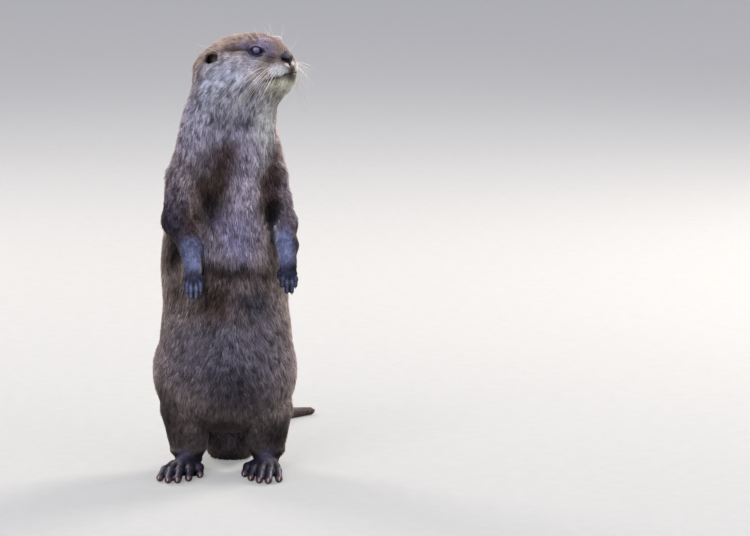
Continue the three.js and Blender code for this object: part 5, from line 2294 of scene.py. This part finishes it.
@dataclass
class Whiskers:
    """The whiskers of both pads and the long hairs over the eyes and on the cheeks."""

    shop: Workshop
    steps: int = 14
    radius: float = 0.3
    sides: int = 5
    seed: int = 5

    # the long hairs: root, way out, length and sag
    long_hairs: tuple[tuple[Row, Row, float, float], ...] = (
        ((26, 15, 26), (-0.5, 0.1, 1.0), 17, -1),
        ((20, 17, 26), (-0.7, 0.2, 0.9), 19, 2),
        ((36, 12, 23), (0.25, 0.2, 1.0), 19, -2),
        ((34, 14, 24), (0.5, 0.3, 0.9), 16, 3),
        ((50, 7, 10), (0.5, 0.7, 0.7), 13, -5),
        ((-22, 34, 17), (-0.8, 0.45, 0.5), 34, 2),
        ((14, 34, -14), (0.1, 0.9, -0.4), 22, 8),
        ((34, 16, -34), (0.2, 0.6, -0.8), 15, 4),
    )

    def paths(self) -> list[tuple[np.ndarray, float]]:
        """Each hair's places in the head's frame, with its thickness."""
        random = np.random.default_rng(self.seed)
        hairs = []
        for side in (LEFT, RIGHT):
            back, thickness = (0.3, 0.75) if side == RIGHT else (0.0, 1.0)
            for i, root in enumerate(whisker_roots()):
                low, place = divmod(i, WHISKERS_IN_ROW)
                length = 30 + 6.0 * place + (10 * back) * (place > 1) + random.uniform(-3, 5)
                ahead = 0.34 - 0.12 * place - back + random.uniform(-0.08, 0.08)
                out = (ahead, 0.9, 0.06 - 0.14 * low + random.uniform(-0.1, 0.1))
                sag = 14 + 6.0 * place + 20 * back + random.uniform(-3, 5)
                hairs.append((self._hair(root, out, length, sag, side), thickness))
            hairs += [(self._hair(*hair, side), 0.7) for hair in self.long_hairs]
        return hairs

    def _hair(self, root: Row, out: Row, length: float, sag: float, side: float) -> np.ndarray:
        """One hair: out from its root, then drooping."""
        t = np.linspace(0, 1, self.steps)[:, None]
        start = mirrored(root, side)
        way = unit(mirrored(out, side))
        down = np.array([-0.3, 0, -1.0])
        return start - way * 1.2 + way * length * t + down * sag * t**1.8

    def build(self, material: bpy.types.Material) -> None:
        """Thickens the hairs' centre-lines into one mesh."""
        hairs = self.paths()
        points = np.concatenate([HEAD_AXES.outside(path) + self.shop.shift for path, _ in hairs]) * MM
        edges = [(h * self.steps + i, h * self.steps + i + 1) for h in range(len(hairs)) for i in range(self.steps - 1)]
        share = np.linspace(0, 1, self.steps)
        thick = np.concatenate([self.radius * MM * size * (1 - 0.8 * share) for _, size in hairs])
        mesh = bpy.data.meshes.new("whisker_lines")
        mesh.from_pydata(points.tolist(), edges, [])
        for key, value in (("thick", thick), ("along", np.tile(share, len(hairs)))):
            mesh.attributes.new(key, "FLOAT", "POINT").data.foreach_set("value", value)
        made = grow_along(stand("whisker_lines", mesh), material, self.sides, "whiskers")
        self.shop.ride(made, "coat")


def grow_along(lines: bpy.types.Object, material: bpy.types.Material, sides: int, name: str) -> bpy.types.Object:
    """Turns a mesh of centre-lines into closed tubes with Geometry Nodes.

    Args:
        lines: The centre-lines, with the attributes thick and along.
        material: The tubes' finish.
        sides: How many sides a tube has.
        name: The new piece's name.

    Returns:
        A plain mesh object at the origin; the centre-lines are removed.
    """
    tree = bpy.data.node_groups.new("tubes_along_lines", "GeometryNodeTree")
    tree.interface.new_socket("Geometry", in_out="INPUT", socket_type="NodeSocketGeometry")
    sides_input = tree.interface.new_socket("Sides", in_out="INPUT", socket_type="NodeSocketInt")
    tree.interface.new_socket("Geometry", in_out="OUTPUT", socket_type="NodeSocketGeometry")
    g = Graph(tree)
    start = g.node("NodeGroupInput", {}, {})
    curves = g.node("GeometryNodeMeshToCurve", {}, {0: start[0]})[0]
    ring = g.node("GeometryNodeCurvePrimitiveCircle", {}, {"Resolution": start[1], "Radius": 1.0})[0]
    thick = g.node("GeometryNodeInputNamedAttribute", {}, {"Name": "thick"})[0]
    sweep = {"Curve": curves, "Profile Curve": ring, "Scale": thick, "Fill Caps": True}
    tubes = g.node("GeometryNodeCurveToMesh", {}, sweep)[0]
    smooth = g.node("GeometryNodeSetShadeSmooth", {}, {0: tubes})[0]
    plain = g.node("GeometryNodeRealizeInstances", {}, {0: smooth})[0]
    dressed = g.node("GeometryNodeSetMaterial", {}, {0: plain, "Material": material})[0]
    g.node("NodeGroupOutput", {}, {0: dressed})
    modifier = lines.modifiers.new("tubes", "NODES")
    modifier.node_group = tree
    modifier[sides_input.identifier] = sides
    mesh = bpy.data.meshes.new_from_object(lines.evaluated_get(bpy.context.evaluated_depsgraph_get()))
    mesh.name = name
    bpy.data.objects.remove(lines)
    return stand(name, mesh)


# ---------------------------------------------------------------- the studio


@dataclass
class Studio:
    """A pale floor that curves up into a backdrop, soft lamps and the camera; its own sizes are in metres."""

    shift: np.ndarray
    aim: Row = (168, 0, 234)
    distance: float = 4500
    lens: float = 190.5
    height: float = 10.0
    chest: Row = (0, -0.1, 0.28)
    floor_ends: Row = (-6.0, 5.4)
    floor_half: float = 7.0
    curve: float = 1.6
    curve_steps: int = 16
    top: float = 6.0
    # each lamp's name, place, size, power and colour
    lamps: tuple[tuple[str, Row, float, float, Row], ...] = (
        ("key", (-0.9, -2.2, 2.5), 1.8, 68, (1.0, 0.985, 0.97)),
        ("fill", (2.2, -2.0, 1.2), 1.8, 23, (0.93, 0.96, 1.0)),
        ("rim_left", (-1.6, 1.6, 1.5), 0.9, 70, (1.0, 0.93, 0.82)),
        ("rim_right", (1.7, 1.5, 1.6), 0.9, 120, (1.0, 0.93, 0.82)),
    )

    def build(self) -> None:
        """Sets the studio up."""
        self._floor()
        self._world()
        for lamp in self.lamps:
            self._lamp(*lamp)
        self._camera()

    def _floor(self) -> None:
        """One sheet: flat under the otter, curving up far behind it."""
        r, back = self.curve, self.floor_ends[1]
        turn = np.linspace(0, math.pi / 2, self.curve_steps + 1)[1:]
        profile = [(y, 0.0) for y in self.floor_ends]
        profile += [(back + r * math.sin(a), r * (1 - math.cos(a))) for a in turn] + [(back + r, self.top)]
        points = [(x, y, z) for y, z in profile for x in (-self.floor_half, self.floor_half)]
        faces = [(2 * i, 2 * i + 1, 2 * i + 3, 2 * i + 2) for i in range(len(profile) - 1)]
        mesh = bpy.data.meshes.new("floor")
        mesh.from_pydata(points, [], faces)
        mesh.polygons.foreach_set("use_smooth", [True] * len(faces))
        mesh.materials.append(self._paper())
        stand("floor", mesh)

    @staticmethod
    def _paper() -> bpy.types.Material:
        """Pale paper, lifted a little where the camera sees it so that the otter's shade on it stays soft."""
        g = MaterialGraph("floor_paper")
        grain = g.fit(g.noise(g.place(), 60, 2), 0.3, 0.7, 0.0, 1.0)
        seen = g.rays()["Is Camera Ray"]
        return g.finish(
            {
                "Base Color": g.blend(seen, (0.2, 0.2, 0.2), g.blend(grain, (0.185, 0.186, 0.185), (0.2, 0.201, 0.2))),
                "Roughness": 0.9,
                "Specular IOR Level": 0.1,
                "Emission Color": g.blend(seen, (0.0, 0.0, 0.0), (0.27, 0.271, 0.272)),
                "Emission Strength": 1.0,
            }
        )

    @staticmethod
    def _world() -> None:
        """An even soft sky, with a bright panel overhead for what is glossy."""
        world = bpy.data.worlds.new("studio")
        world.use_nodes = True
        g = Graph(world.node_tree)
        height = g.node("ShaderNodeSeparateXYZ", {}, {0: g.node("ShaderNodeTexCoord", {}, {})[0]})[2]
        sky = g.bands(height, (0.0, (0.25, 0.26, 0.28)), (0.9, (1.1, 1.12, 1.2)))
        panel = g.bands(height, (0.55, (0.05, 0.05, 0.06)), (0.85, (5.0, 4.5, 8.0)))
        light = g.blend(g.rays()["Is Glossy Ray"], sky, panel)
        back = g.node("ShaderNodeBackground", {}, {"Color": light, "Strength": 1.0})[0]
        g.node("ShaderNodeOutputWorld", {}, {"Surface": back})
        bpy.context.scene.world = world

    def _lamp(self, name: str, at: Row, size: float, power: float, colour: Row) -> None:
        """A square soft lamp aimed at the otter's chest."""
        light = bpy.data.lights.new(name, "AREA")
        light.size, light.energy, light.color = size, power, colour
        lamp = stand(name, light)
        lamp.location = at
        lamp.rotation_euler = (Vector(self.chest) - Vector(at)).to_track_quat("-Z", "Y").to_euler()

    def _camera(self) -> None:
        """A long lens a little above the otter, with the otter on the left of the picture."""
        data = bpy.data.cameras.new("camera")
        data.lens, data.sensor_width, data.clip_end = self.lens, 36, 30
        camera = stand("camera", data)
        aim = Vector((np.array(self.aim) + self.shift) * MM)
        rise = math.radians(self.height)
        camera.location = aim + Vector((0, -math.cos(rise), math.sin(rise))) * self.distance * MM
        camera.rotation_euler = (aim - camera.location).to_track_quat("-Z", "Y").to_euler()
        scene = bpy.context.scene
        scene.camera = camera
        scene.view_settings.view_transform = "Standard"


def main() -> None:
    """Builds the otter round its frame."""
    logging.basicConfig(level=logging.INFO, format="%(message)s")
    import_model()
    low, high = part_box("eye_right")
    eye = np.array((low + high) / 2) / MM
    shop = Workshop(eye - HEAD_AXES.outside(mirrored(EYE.at, RIGHT)))
    Studio(shop.shift).build()
    skin = SkinPiece(shop)
    skin.build()
    skin.dress(SkinFinish().material())
    EyePieces(shop).build(EyeFinish().material())
    NosePiece(shop).build(NoseFinish().material())
    ClawPieces(shop).build(HornFinish("claw_horn", (78, 64, 64), (140, 124, 118), 0.4).material())
    Whiskers(shop).build(HornFinish("whisker_hair", (196, 190, 182), (226, 222, 214), 0.4).material())
    coat = Coat(skin.surface, seed=3, thin=1.0)
    LOG.info("coat: %d faces in all", coat.dress(shop, HairFinish().material()))


if __name__ == "__main__":
    main()
